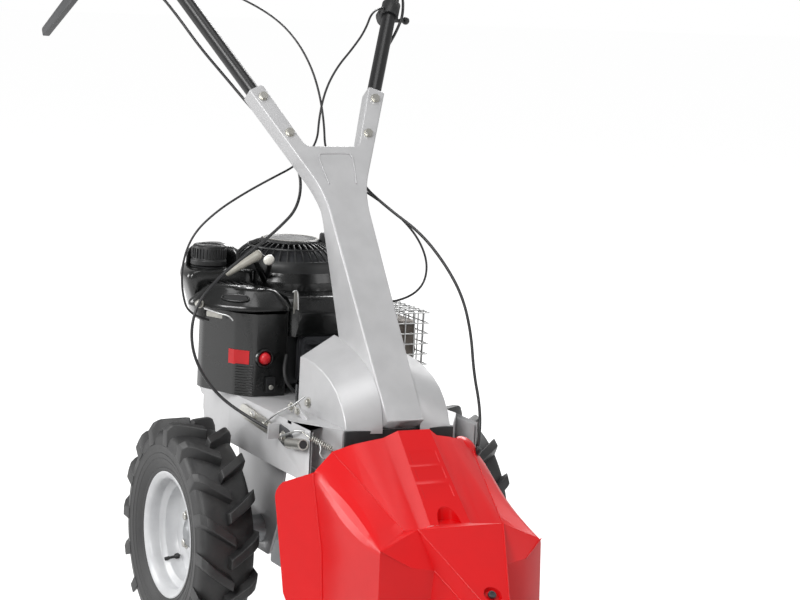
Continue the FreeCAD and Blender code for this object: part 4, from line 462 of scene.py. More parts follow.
def lathe(name, profile, centre, axis, body, material, stands_for=(), steps=64, edge=0.0,
          start=0.0):
    """Turned shape: (radius, height) pairs in millimetres round an axis through a centre."""
    bm = bmesh.new()
    up = Vector(axis).normalized()
    side = up.orthogonal().normalized()
    if abs(up.z) > 0.9:
        side = Vector((1, 0, 0))
    other = up.cross(side)
    hub = at(*centre)
    rings = []
    for radius, height in profile:
        if radius < 0.01:
            rings.append([bm.verts.new(hub + up * height * MM)])
            continue
        rings.append([bm.verts.new(hub + up * height * MM + (side * cos(t) + other * sin(t)) * radius * MM)
                      for t in (start + 2 * pi * k / steps for k in range(steps))])
    for low, high in zip(rings, rings[1:]):
        for k in range(steps):
            n = (k + 1) % steps
            corners = [low[k % len(low)], low[n % len(low)], high[n % len(high)], high[k % len(high)]]
            corners = list(dict.fromkeys(corners))
            if len(corners) > 2:
                bm.faces.new(corners)
    bmesh.ops.recalc_face_normals(bm, faces=bm.faces)
    obj = object_from(bm, name)
    bevelled(obj, max(edge, 0.05) * MM, 30, 2)
    return done(obj, body, material, stands_for)


def solid_from(bm, name, body, material, stands_for=(), edge=0.8, angle=30, segments=2):
    bmesh.ops.remove_doubles(bm, verts=bm.verts, dist=0.00005)
    bmesh.ops.recalc_face_normals(bm, faces=bm.faces)
    obj = object_from(bm, name)
    bevelled(obj, edge * MM, angle, segments)
    return done(obj, body, material, stands_for)


def prism(bm, outline, place, low, high):
    """Solid between two levels; place turns a point of the outline and a level into a point."""
    a = [bm.verts.new(at(*place(u, v, low))) for u, v in outline]
    b = [bm.verts.new(at(*place(u, v, high))) for u, v in outline]
    bm.faces.new(a)
    bm.faces.new(b)
    for k in range(len(a)):
        n = (k + 1) % len(a)
        bm.faces.new((a[k], a[n], b[n], b[k]))


def flat(u, v, w):
    return (u, v, w)


def upright(u, v, w):
    """An outline in y and z, thick across x."""
    return (w, u, v)


def facing(u, v, w):
    """An outline in x and z, thick along y."""
    return (u, w, v)


def plate(name, outline, place, low, high, body, material, edge=0.8, stands_for=()):
    bm = bmesh.new()
    prism(bm, outline, place, low, high)
    return solid_from(bm, name, body, material, stands_for, edge)


def rounded(outline, radius, steps=5):
    """The outline with its corners rounded."""
    points = []
    count = len(outline)
    for k in range(count):
        p = Vector(outline[k])
        a = Vector(outline[k - 1]) - p
        b = Vector(outline[(k + 1) % count]) - p
        reach = min(radius, a.length * 0.45, b.length * 0.45)
        one = p + a.normalized() * reach
        two = p + b.normalized() * reach
        for s in range(steps + 1):
            t = s / steps
            points.append(tuple(one.lerp(p, t).lerp(p.lerp(two, t), t)))
    return points


def wire(name, points, radius, body, material, stands_for=(), soft=True, cyclic=False):
    """Bent round bar through points in millimetres."""
    curve = bpy.data.curves.new(name, "CURVE")
    curve.dimensions = "3D"
    curve.bevel_depth = radius * MM
    curve.bevel_resolution = 3
    curve.resolution_u = 8
    curve.use_fill_caps = True
    line = curve.splines.new("NURBS" if soft else "POLY")
    line.points.add(len(points) - 1)
    for spot, (x, y, z) in zip(line.points, points):
        spot.co = (x * MM, y * MM + AXLE_Y, z * MM, 1)
    if soft:
        line.order_u = 3
        line.use_endpoint_u = not cyclic
    line.use_cyclic_u = cyclic
    obj = bpy.data.objects.new(name, curve)
    bpy.context.scene.collection.objects.link(obj)
    return done(obj, body, material, stands_for)


def bolt_head(name, place, axis, radius, body, material=ZINC, washer=True, height=0.62):
    """Hexagon head with a chamfered top, on its washer."""
    if washer:
        lathe(name + "_washer", [(radius * 0.5, 0), (radius * 1.45, 0), (radius * 1.45, 1.4),
                                 (radius * 0.5, 1.4)], place, axis, body, material,
              steps=32, edge=0.3)
    base = 1.4 if washer else 0
    lathe(name, [(0, base), (radius, base), (radius, base + radius * height),
                 (radius * 0.86, base + radius * (height + 0.1)), (0, base + radius * (height + 0.1))],
          place, axis, body, material, steps=6, edge=0.3, start=0.3)


def repeater():
    """Node tree: one item repeated by a step and a turn about its centre."""
    tree = bpy.data.node_groups.new("repeated", "GeometryNodeTree")
    face_of = tree.interface
    for label, kind in (("Item", "NodeSocketObject"), ("Count", "NodeSocketInt"),
                        ("Turn", "NodeSocketVector"), ("Step", "NodeSocketVector"),
                        ("Centre", "NodeSocketVector"), ("Finish", "NodeSocketMaterial")):
        face_of.new_socket(label, in_out="INPUT", socket_type=kind)
    face_of.new_socket("Geometry", in_out="OUTPUT", socket_type="NodeSocketGeometry")
    given = tree.nodes.new("NodeGroupInput").outputs
    item = add(tree, "GeometryNodeObjectInfo", Object=given["Item"]).outputs["Geometry"]
    line = add(tree, "GeometryNodeMeshLine", Count=given["Count"], Start_Location=given["Centre"],
               Offset=given["Step"]).outputs[0]
    index = add(tree, "GeometryNodeInputIndex").outputs[0]
    turned = add(tree, "ShaderNodeVectorMath", {"operation": "SCALE"}, i0=given["Turn"],
                 Scale=index).outputs[0]
    copies = add(tree, "GeometryNodeInstanceOnPoints", Points=line, Instance=item, Rotation=turned)
    real = add(tree, "GeometryNodeRealizeInstances", Geometry=copies.outputs[0]).outputs[0]
    painted_mesh = add(tree, "GeometryNodeSetMaterial", Geometry=real, Material=given["Finish"])
    out = tree.nodes.new("NodeGroupOutput")
    tree.links.new(painted_mesh.outputs[0], out.inputs[0])
    return tree


REPEATED = repeater()


def repeated(name, item, count, body, material, centre=(0, 0, 0), turn=(0, 0, 0),
             step=(0, 0, 0), stands_for=()):
    """Copies of an item, which is drawn round the world's origin in metres, baked into one mesh."""
    host = object_from(bmesh.new(), name + "_host")
    mod = host.modifiers.new("copies", "NODES")
    mod.node_group = REPEATED
    values = {"Item": item, "Count": count, "Turn": turn, "Step": tuple(v * MM for v in step),
              "Centre": tuple(at(*centre)), "Finish": material}
    for entry in REPEATED.interface.items_tree:
        if entry.in_out == "INPUT":
            mod[entry.identifier] = values[entry.name]
    depsgraph = bpy.context.evaluated_depsgraph_get()
    mesh = bpy.data.meshes.new_from_object(host.evaluated_get(depsgraph))
    for part in (host, item):
        bpy.data.objects.remove(part)
    obj = bpy.data.objects.new(name, mesh)
    bpy.context.scene.collection.objects.link(obj)
    return done(obj, body, material, stands_for)


def item_from(bm, edge=0.0, angle=30, segments=2):
    """Temporary object for repeated(), its edges rounded."""
    bmesh.ops.remove_doubles(bm, verts=bm.verts, dist=0.00002)
    bmesh.ops.recalc_face_normals(bm, faces=bm.faces)
    if edge:
        sharp = [e for e in bm.edges if len(e.link_faces) == 2 and
                 e.calc_face_angle(0) > radians(angle)]
        bmesh.ops.bevel(bm, geom=sharp, offset=edge * MM, segments=segments, profile=0.6,
                        affect="EDGES", clamp_overlap=True)
    return object_from(bm, "item")


def local_prism(bm, rings):
    """Loft through rings of points in metres, capped at both ends."""
    loops = [[bm.verts.new(p) for p in ring] for ring in rings]
    bm.faces.new(loops[0])
    bm.faces.new(loops[-1])
    for a, b in zip(loops, loops[1:]):
        for k in range(len(a)):
            n = (k + 1) % len(a)
            bm.faces.new((a[k], a[n], b[n], b[k]))


# ------------------------------------------------------------------ covers, deck and linkage
DECK_SIDE = 160

COLUMN_LEAN = radians(52)
COLUMN_FRONT = (-327, 468)          # y and z of the column's lower front edge
COLUMN_DEPTHS = ((0, 104), (150, 104), (430, 30), (900, 30))


def on_column(u, v, w=0.0):
    """Point of the column: across, up the slope from its foot, and in from its front."""
    return (u, COLUMN_FRONT[0] + v * cos(COLUMN_LEAN) + w * sin(COLUMN_LEAN),
            COLUMN_FRONT[1] + v * sin(COLUMN_LEAN) - w * cos(COLUMN_LEAN))


def column_depth(v):
    """Depth of the channel: deep at the foot, where the deck cuts it level, shallow at the arms."""
    for (v0, d0), (v1, d1) in zip(COLUMN_DEPTHS, COLUMN_DEPTHS[1:]):
        if v <= v1:
            depth = d0 + (d1 - d0) * (v - v0) / (v1 - v0)
            break
    return min(depth, (COLUMN_FRONT[1] - 450 + v * sin(COLUMN_LEAN)) / cos(COLUMN_LEAN))


def bend_corner(before, corner, after, radius, steps=8):
    """Points of a round bend of a given radius in a flat outline."""
    p = Vector(corner)
    a, b = (Vector(before) - p), (Vector(after) - p)
    back = min(radius / tan(a.angle(b) / 2), a.length * 0.48, b.length * 0.48)
    one, two = p + a.normalized() * back, p + b.normalized() * back
    return [tuple(one.lerp(p, k / steps).lerp(p.lerp(two, k / steps), k / steps))
            for k in range(steps + 1)]


def column():
    """Pressed Y of one sheet: rounded front edges, turned-back sides, a bead round the waist."""
    corners = [(35, 0, 0), (40, 452, 210), (136.2, 667.6, 5), (106.4, 680.8, 5), (52, 550, 18)]
    half = [(35, 0), (35.6, 60), (36.7, 150), (38.2, 290)]
    for before, (u, v, r), after in zip(corners, corners[1:], corners[2:] + [(-52, 550, 0)]):
        half += bend_corner(before[:2], (u, v), after[:2], r)
    loop = half + [(-u, v) for u, v in reversed(half)]
    bm = bmesh.new()
    front = [bm.verts.new(at(*on_column(u, v))) for u, v in loop]
    back = [bm.verts.new(at(*on_column(u, v, column_depth(v)))) for u, v in loop]
    bm.faces.new(front)
    for k in range(len(loop)):
        n = (k + 1) % len(loop)
        bm.faces.new((front[k], front[n], back[n], back[k]))
    bmesh.ops.recalc_face_normals(bm, faces=bm.faces)
    if max(bm.faces, key=lambda f: f.calc_area()).normal.y > 0:
        bmesh.ops.reverse_faces(bm, faces=bm.faces)
    rim = [e for e in bm.edges if e.verts[0] in front and e.verts[1] in front]
    bmesh.ops.bevel(bm, geom=rim, offset=3.0 * MM, segments=4, profile=0.5, affect="EDGES",
                    clamp_overlap=True)
    bmesh.ops.triangulate(bm, faces=[f for f in bm.faces if len(f.verts) > 4])
    obj = object_from(bm, "column_pressing")
    wall = obj.modifiers.new("wall", "SOLIDIFY")
    wall.thickness = 3.0 * MM
    wall.offset = -1
    smooth = obj.modifiers.new("even", "WEIGHTED_NORMAL")
    smooth.keep_sharp = True
    done(obj, "chassis", SILVER_POWDER, ("handle_column",))
    bead = [(-27, 470), (-34, 520), (-32, 531), (-26, 534), (26, 534), (32, 531), (34, 520), (27, 470)]
    wire("column_bead", [on_column(u, v, -0.4) for u, v in bead], 1.5, "chassis", SILVER_POWDER)


def covers():
    """Curved cover on each side of the column's foot: a flat cheek, a shoulder rising inwards."""
    outer = [(-106, 541), (-130, 543), (-165, 540), (-200, 533), (-232, 522), (-258, 508), (-278, 490),
             (-292, 470), (-300, 453), (-301, 444)]
    inner = [(-106, 579), (-135, 577), (-170, 571), (-205, 562), (-238, 549), (-266, 533), (-288, 513),
             (-304, 491), (-312, 462), (-313, 444)]
    bm = bmesh.new()
    across = (0, 0.03, 0.08, 0.3, 0.65, 1.0)
    rows = []
    for (ya, za), (yb, zb) in zip(outer, inner):
        rows.append([(100 - 64 * t, ya + (yb - ya) * t, za + (zb - za) * t) for t in across])
    grid(bm, rows)
    cheek = [(100, y, z) for y, z in outer] + [(100, -106, 444)]
    face(bm, cheek)
    face(bm, [(100, -106, 541)] + [row for row in rows[0][1:]] + [(36, -106, 444), (100, -106, 444)])
    bmesh.ops.remove_doubles(bm, verts=bm.verts, dist=0.0001)
    bmesh.ops.recalc_face_normals(bm, faces=bm.faces)
    broad = [e for e in bm.edges if len(e.link_faces) == 2 and e.calc_face_angle(0) > radians(28)]
    bmesh.ops.bevel(bm, geom=broad, offset=7 * MM, segments=4, profile=0.5, affect="EDGES",
                    clamp_overlap=True)
    bmesh.ops.recalc_face_normals(bm, faces=bm.faces)
    obj = object_from(bm, "belt_cover_pressings")
    wall = obj.modifiers.new("wall", "SOLIDIFY")
    wall.thickness = 2.0 * MM
    wall.offset = -1
    smooth = obj.modifiers.new("even", "WEIGHTED_NORMAL")
    smooth.keep_sharp = True
    done(obj, "chassis", SILVER_POWDER, ("belt_cover",))
    # Dark strip across the gap between the covers and the hood's rim: painted shade of that gap, in the belt
    # rubber.
    plate("cover_seal", [(-103, -309), (103, -309), (103, -303), (-103, -303)], flat, 420, 449,
          "chassis", BELT_RUBBER_AND_PAINTED_SHADE, 1.0)
    for side, word in ((-1, "right"), (1, "left")):
        bolt_head("cover_bolt_" + word, (side * 100.2, -150, 468), (side, 0, 0), 6.5, "chassis")


def deck():
    """The welded frame, its deck corners cut back and the hood's stay inside the wings."""
    bm = bmesh.new()
    bm.from_mesh(NODES["chassis_frame"].data)
    bmesh.ops.remove_doubles(bm, verts=bm.verts, dist=0.00002)
    bmesh.ops.dissolve_limit(bm, angle_limit=radians(1.2), verts=bm.verts, edges=bm.edges)
    for x in (-0.106, 0.106):
        bmesh.ops.bisect_plane(bm, geom=bm.verts[:] + bm.edges[:] + bm.faces[:], plane_co=(x, 0, 0),
                               plane_no=(1, 0, 0), dist=0.00001)
    for vert in bm.verts:
        y = (vert.co.y - AXLE_Y) / MM
        x = abs(vert.co.x) / MM
        if -306 < y < -290 and x > 107 and vert.co.z > 0.34:
            vert.co.y += (x - 106) / 54 * 88 * MM
        if y < -325 and x > 150:
            vert.co.x *= 150 / x
    obj = object_from(bm, "welded_frame")
    bevelled(obj, 0.8 * MM, 35, 2)
    done(obj, "chassis", SILVER_POWDER, ("chassis_frame",))
    for side, word in ((-1, "right"), (1, "left")):
        corner = [(160, -213), (105, -303), (100, -303), (100, -196), (160, -196)]
        plate("deck_corner_" + word, [(x * side, y) for x, y in corner], flat, 444, 450.8, "chassis",
              SILVER_POWDER, 0.8)


def linkage():
    """Clutch linkage on the frame's right side: oval link, lever plate, tube, springs and wires."""
    x = -DECK_SIDE
    link = [(-2, 433), (-8, 441), (-20, 443), (-122, 434), (-136, 429), (-140, 421), (-134, 413),
            (-120, 410), (-18, 417), (-6, 423)]
    plate("oval_link", rounded(link, 8, 4), upright, x - 5.5, x - 1.5, "clutch_link", ZINC, 0.8,
          ("clutch_arm",))
    bolt_head("oval_link_bolt_1", (x - 5.5, -64, 431), (-1, 0, 0), 7, "clutch_link")
    bolt_head("oval_link_bolt_2", (x - 5.5, -116, 425), (-1, 0, 0), 5.5, "clutch_link")
    arm = [(-150, 431), (-164, 437), (-205, 434), (-224, 425), (-226, 414), (-214, 404), (-196, 402),
           (-172, 409), (-154, 417)]
    plate("lever_plate", rounded(arm, 8, 4), upright, x - 3.6, x + 1, "chassis", DARK_POWDER,
          0.8)
    bolt_head("lever_plate_bolt", (x - 3.6, -190, 419), (-1, 0, 0), 7, "chassis")
    bolt_head("lever_plate_bolt_2", (x - 3.6, -162, 424), (-1, 0, 0), 5, "chassis")
    # open tube that the lever works through
    lathe("stop_tube", [(7.2, 0), (9.6, 0), (9.6, 66), (7.2, 66), (7.2, 0)], (x - 7, -222, 415),
          (-0.06, -0.98, 0.17), "chassis", ZINC, steps=36, edge=0.4)
    # Dark disc just inside the open tube's mouth: painted shade of its hollow bore.
    lathe("stop_tube_bore", [(0, 3), (7.2, 3), (7.2, 5), (0, 5)], (x - 10.6, -282, 425.4),
          (-0.06, -0.98, 0.17), "chassis", BELT_RUBBER_AND_PAINTED_SHADE, steps=24)
    plate("guide_tab", rounded([(-166, 470), (-212, 454), (-214, 444), (-168, 458)], 4, 3), upright,
          -132, -128.5, "chassis", SILVER_POWDER, 0.8)
    for k, (y, z, size) in enumerate(((-150, 462, 6), (-176, 459, 5))):
        bolt_head("guide_tab_bolt_%d" % (k + 1), (-132, y, z), (-1, 0, 0), size, "chassis")
    wire("trip_wire", [(-168, -118, 428), (-168, -150, 446), (-160, -170, 462), (-140, -176, 470),
                       (-122, -180, 486)], 1.6, "chassis", BRIGHT_WIRE)
    wire("link_rod", [(-170, -190, 420), (-171, -226, 432), (-168, -256, 446), (-150, -280, 444)], 2.0,
         "chassis", BRIGHT_WIRE)
    # return spring between the lever and the hood's rim, with its hooks
    start, stop = Vector((-158, -286, 438)), Vector((-124, -304, 418))
    along = stop - start
    side = along.cross(Vector((0, 0, 1))).normalized()
    other = along.cross(side).normalized()
    turns = [tuple(start + along * (k / 80) + (side * cos(k * 0.9) + other * sin(k * 0.9)) * 5.2)
             for k in range(81)]
    wire("return_spring", turns, 0.95, "chassis", ZINC)
    for k, (place, way) in enumerate(((start, -1), (stop, 1))):
        step = along.normalized() * way
        wire("spring_hook_%d" % (k + 1), [tuple(place + side * 5), tuple(place + step * 5 + side * 4),
                                          tuple(place + step * 12), tuple(place + step * 17 - side * 4),
                                          tuple(place + step * 13 - side * 8)], 1.0, "chassis", ZINC)
    wire("hook_wire", [(-150, -292, 436), (-142, -300, 424), (-150, -304, 410), (-138, -308, 402)], 1.3,
         "chassis", BRIGHT_WIRE)
    # short lever with a blade end on the cover
    wire("blade_lever", [(-101, -106, 452), (-103, -103, 468), (-99, -98, 490)], 2.6, "chassis",
         BAR_ENAMEL)
    bolt_head("blade_lever_bolt", (-101, -108, 448), (-1, 0, 0), 7.5, "chassis")


hood()
column()
covers()
deck()
linkage()


# ------------------------------------------------------------------ wheels
TRACK_HALF = 252.5          # middle of the machine to a tyre centre
HUB_Z = 207.5               # axle over the floor
LUGS_IN_ROW = 16
WHEEL_NUTS = 4


def lug_item(row):
    """One curved tread bar: round shoulder foot, tapered sides, sweeping back to the middle."""
    bm = bmesh.new()
    rings = []
    for k in range(9):
        t = k / 8
        x = row * (53.6 - 58.0 * t)
        sweep = 44 * t ** 0.85
        base = 183.0 - 22.0 * max(0.0, 0.22 - t) / 0.22
        crown = 206.8 - 15.0 * max(0.0, 0.18 - t) ** 1.3 / 0.18 ** 1.3 - 1.2 * (1 - t)
        ring = []
        for across, r in ((-12.5, base), (-8.5, crown), (8.5, crown), (12.5, base)):
            half = across * (1.0 + 0.12 * (1 - t))
            angle = (sweep + half) / 196.0 + (1 + row) * pi / (2 * LUGS_IN_ROW)
            ring.append((x * MM, -r * sin(angle) * MM, r * cos(angle) * MM))
        rings.append(ring)
    local_prism(bm, rings)
    return item_from(bm, 2.2, 28, 3)


def tyre(side, word):
    body = "wheel_" + word
    centre = (side * TRACK_HALF, 0, HUB_Z)
    half = [(101.5, 38), (110, 40.5), (116, 43.5), (119, 44.5), (121, 43.2), (124, 44.5), (132, 48.2),
            (142, 50.8), (152, 52.2), (158, 52.4), (160, 53.4), (162, 52.4), (170, 51.4), (176, 49.6),
            (181, 46.5), (185, 40), (187.5, 28), (188.8, 12), (189, 0)]
    outer = half + [(r, -x) for r, x in half[-2::-1]]
    inner = [(101.5, -30), (150, -43), (176, -32), (180, 0), (176, 32), (150, 43), (101.5, 30)]
    lathe("tyre_%s_carcass" % word, outer + inner + [(101.5, 38)], centre, (side, 0, 0), body,
          TYRE_RUBBER, ("tyre_" + word,), steps=96, edge=0.5)
    for row in (-1, 1):
        repeated("tyre_%s_lugs_%s" % (word, "outer" if row * side > 0 else "inner"),
                 lug_item(row), LUGS_IN_ROW, body, TYRE_RUBBER, centre,
                 (2 * pi / LUGS_IN_ROW, 0, 0))
    for k, (r, x) in enumerate(((136.5, 48.9), (146, 51.0))):
        lathe("tyre_%s_line_%d" % (word, k + 1), [(r - 1, x), (r, x + 1), (r + 1, x)],
              centre, (side, 0, 0), body, TYRE_RUBBER, steps=96)


def rim(side, word):
    """Deep-dished pressed wheel: rolled lips, drop centre, disc set well inside."""
    body = "wheel_" + word
    centre = (side * TRACK_HALF, 0, HUB_Z)
    profile = [(113, 42.2), (113, 43), (110.5, 43.6), (108, 42.6), (104, 40.5), (101, 38.5),
               (98.5, 35), (97.6, 28), (97.2, 20), (95, 17), (88, 14.5), (85.6, 12), (85, 4),
               (84, -3), (80, -9), (70, -12.5), (60, -13.5), (52, -11), (47, -6.5), (42, -5),
               (29, -5), (29, -8), (43, -8), (50, -13), (60, -16.5), (72, -15.8), (83, -12),
               (87.5, -14), (92, -16.5), (97, -20), (98, -30), (99, -36), (104, -40.5), (110, -43.6),
               (113, -43), (113, -42.2), (109, -41), (103, -38), (101, -34), (100.2, -21), (94, -17.5),
               (89, -14.5), (88, 0), (89, 14), (95, 17.8), (99.8, 21), (100.6, 34), (103.6, 38.5),
               (109, 41.2), (113, 42.2)]
    lathe("rim_%s_pressing" % word, profile, centre, (side, 0, 0), body, WHEEL_ENAMEL,
          ("rim_" + word,), steps=96, edge=0.3)
    lathe("hub_%s_turning" % word, [(0, 8), (11, 8), (15, 5.5), (20, 4), (24, 2), (27, -1), (27.5, -8),
                                    (46, -8.2), (46, -15), (27, -15), (27, -58), (12.5, -58),
                                    (12.5, -185.5), (0, -185.5)],
          centre, (side, 0, 0), body, CAST_ALLOY, ("hub_" + word,), steps=48, edge=0.8)
    for k in range(WHEEL_NUTS):
        turn = (k + 0.5) * 2 * pi / WHEEL_NUTS
        spot = (centre[0] - side * 5, 35 * cos(turn), HUB_Z + 35 * sin(turn))
        bolt_head("wheel_%s_nut_%d" % (word, k + 1), spot, (side, 0, 0), 7.4, body)
    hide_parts("wheel_bolts_" + word)
    lathe("valve_%s" % word, [(0, 26), (2.6, 26), (3.4, 25), (3.4, 17), (2.4, 16), (2.4, 8), (4.6, 6),
                              (5.2, 0), (0, -4)], (centre[0] - side * 4, 56, HUB_Z - 56), (side, 0.28, -0.28),
          body, BLACK_NYLON, steps=20, edge=0.2)


for side, word in ((-1, "right"), (1, "left")):
    tyre(side, word)
    rim(side, word)


# ------------------------------------------------------------------ engine

def fuel_tank():
    plan = [(-232, 99), (-231, 135), (-217, 182), (-196, 226), (-166, 256), (-122, 264), (-98, 252),
            (-97, 99)]
    levels = [(573, 30, 14), (580, 24, 10), (612, 13, 5), (640, 3, 1), (650, 0, 0), (658, 2, 2),
              (663, 7, 6), (665, 14, 12)]
    bm = bmesh.new()
    loops = []
    smooth = rounded(plan, 26, 6)
    for z, left, other in levels:
        ring = []
        for x, y in smooth:
            share = (x + 97) / -135
            depth = 99 + (y - 99) * (1 - other / 165) + other * 0.15
            ring.append(bm.verts.new(at(x + left * share, depth, z)))
        loops.append(ring)
    bm.faces.new(loops[0])
    bm.faces.new(loops[-1])
    for a, b in zip(loops, loops[1:]):
        for k in range(len(a)):
            n = (k + 1) % len(a)
            bm.faces.new((a[k], a[n], b[n], b[k]))
    solid_from(bm, "fuel_tank_moulding", "chassis", BLACK_GLOSS, ("fuel_tank",), edge=1.5, angle=40)
    bm = bmesh.new()
    plan = rounded([(-212, 172), (-150, 196), (-104, 150), (-98, 252), (-122, 262), (-166, 254)], 14, 4)
    middle = Vector((-150, 215))
    rings = []
    for z, inset in ((655, 0), (684, 3), (694, 9), (698, 18)):
        pulled = [middle + (Vector(q) - middle) * (1 - inset / (Vector(q) - middle).length) for q in plan]
        rings.append([tuple(at(q.x, q.y, z)) for q in pulled])
    local_prism(bm, rings)
    solid_from(bm, "fuel_tank_shoulder", "chassis", BLACK_GLOSS, edge=1.2, angle=40)
    lathe("fuel_neck", [(24, 660), (33.5, 660), (33.5, 664), (30, 667.5), (24, 667.5)],
          (-170, 158, 0), (0, 0, 1), "chassis", BLACK_NYLON, edge=0.6)
    # cap: grip ribs round a domed cup
    lathe("fuel_cap_cup", [(0, 700), (9, 700), (11, 702.5), (20, 703), (22, 705.5), (27, 705.5),
                           (29.5, 703), (30.5, 698), (31, 680), (33, 677), (33, 669), (30, 668),
                           (0, 668)],
          (-170, 158, 0), (0, 0, 1), "cap", BLACK_NYLON, ("fuel_cap",), edge=0.6)
    bm = bmesh.new()
    local_prism(bm, [[(x * MM, y * MM, z * MM) for x, y in ((30, -1.5), (32.6, -0.9), (32.6, 0.9), (30, 1.5))]
                     for z in (0, 18)])
    repeated("fuel_cap_ribs", item_from(bm, 0.4), 30, "cap", BLACK_NYLON,
             (-170, 158, 681), (0, 0, 2 * pi / 30))


def grille():
    """Cooling grille over the flywheel: disc, rim and forty curved slats."""
    centre = (0, 175, 0)
    lathe("grille_disc", [(0, 713), (30, 713), (44, 712.6), (46, 713.4), (52, 713.2), (55, 711.6),
                          (57, 708), (55, 706), (30, 708), (0, 708)],
          centre, (0, 0, 1), "chassis", BLACK_NYLON, ("starter_grille",), edge=0.5)
    lathe("grille_ring", [(49.2, 713.5), (50.6, 713.9), (52, 713.4), (50.6, 712.6), (49.2, 713.5)],
          centre, (0, 0, 1), "chassis", PALE_NYLON, steps=96)
    lathe("grille_rim", [(98, 677), (105.5, 682), (108.5, 679), (111, 672), (112, 664), (112, 655),
                         (108, 655), (108, 664), (106, 672), (103, 675), (98, 674), (98, 677)],
          centre, (0, 0, 1), "chassis", BLACK_NYLON, edge=0.8, steps=96)
    lathe("grille_hoop", [(77, 700.2), (79.4, 701.2), (80.2, 698.8), (77.6, 697.8), (77, 700.2)],
          centre, (0, 0, 1), "chassis", BLACK_NYLON, steps=96)
    bm = bmesh.new()
    line = [(54, 709), (66, 706), (78, 700.5), (90, 692), (98, 684), (103, 676)]
    rings = [[(r * MM, w * MM, (z + d) * MM) for w, d in ((-1.5, -3.4), (-1.3, 0.4), (1.3, 0.4), (1.5, -3.4))]
             for r, z in line]
    local_prism(bm, rings)
    repeated("grille_slats", item_from(bm, 0.4), 40, "chassis", BLACK_NYLON, centre,
             (0, 0, 2 * pi / 40))
    lathe("grille_well", [(0, 701), (52, 700), (66, 696), (78, 690), (90, 681), (98, 673), (103, 666),
                           (107, 658), (107, 652), (0, 652)], centre,
          (0, 0, 1), "chassis", DARK_ALLOY, edge=0.5)
    lathe("speed_knob", [(0, 725), (7, 725), (9, 722), (9.5, 700), (11, 698), (11, 692), (0, 692)],
          (58, 150, 0), (0, 0, 1), "chassis", BLACK_NYLON, edge=0.8)


def starter_grip():
    """Tapered T-grip on its cord, and the eyelet it rests against."""
    tip, root = Vector((-178, 56, 664)), Vector((-123, 29, 706))
    axis = root - tip
    length = axis.length
    bar = [(0, 0), (3.2, 0.6), (4.8, 3), (5.6, 9), (7.0, length * 0.5), (8.6, length * 0.86),
           (9.0, length * 0.94), (7.6, length * 0.99), (4, length + 1), (0, length + 1.2)]
    lathe("starter_grip_bar", bar,
          tuple(tip), tuple(axis), "recoil_grip", PALE_NYLON, ("starter_grip",), steps=40, edge=0.6)
    eye = Vector((-114, 14, 696))
    lathe("rope_eyelet", [(0, -10), (5, -9), (8, -5.5), (9, 0), (8.4, 4.5), (6, 8), (2.6, 9.4), (0, 9.4)],
          tuple(eye), (0.75, 0.2, 0.35), "chassis", GLAZE, steps=36, edge=0.5)
    wire("rope_guide_arm", [(-80, 98, 652), (-92, 60, 672), (-108, 26, 690), (-113, 16, 695)], 4.6,
         "chassis", BLACK_NYLON)
    wire("starter_cord", [(-124, 29, 705), (-119, 22, 701), (-115, 15, 697)], 1.6, "recoil_grip",
         SHEATH)


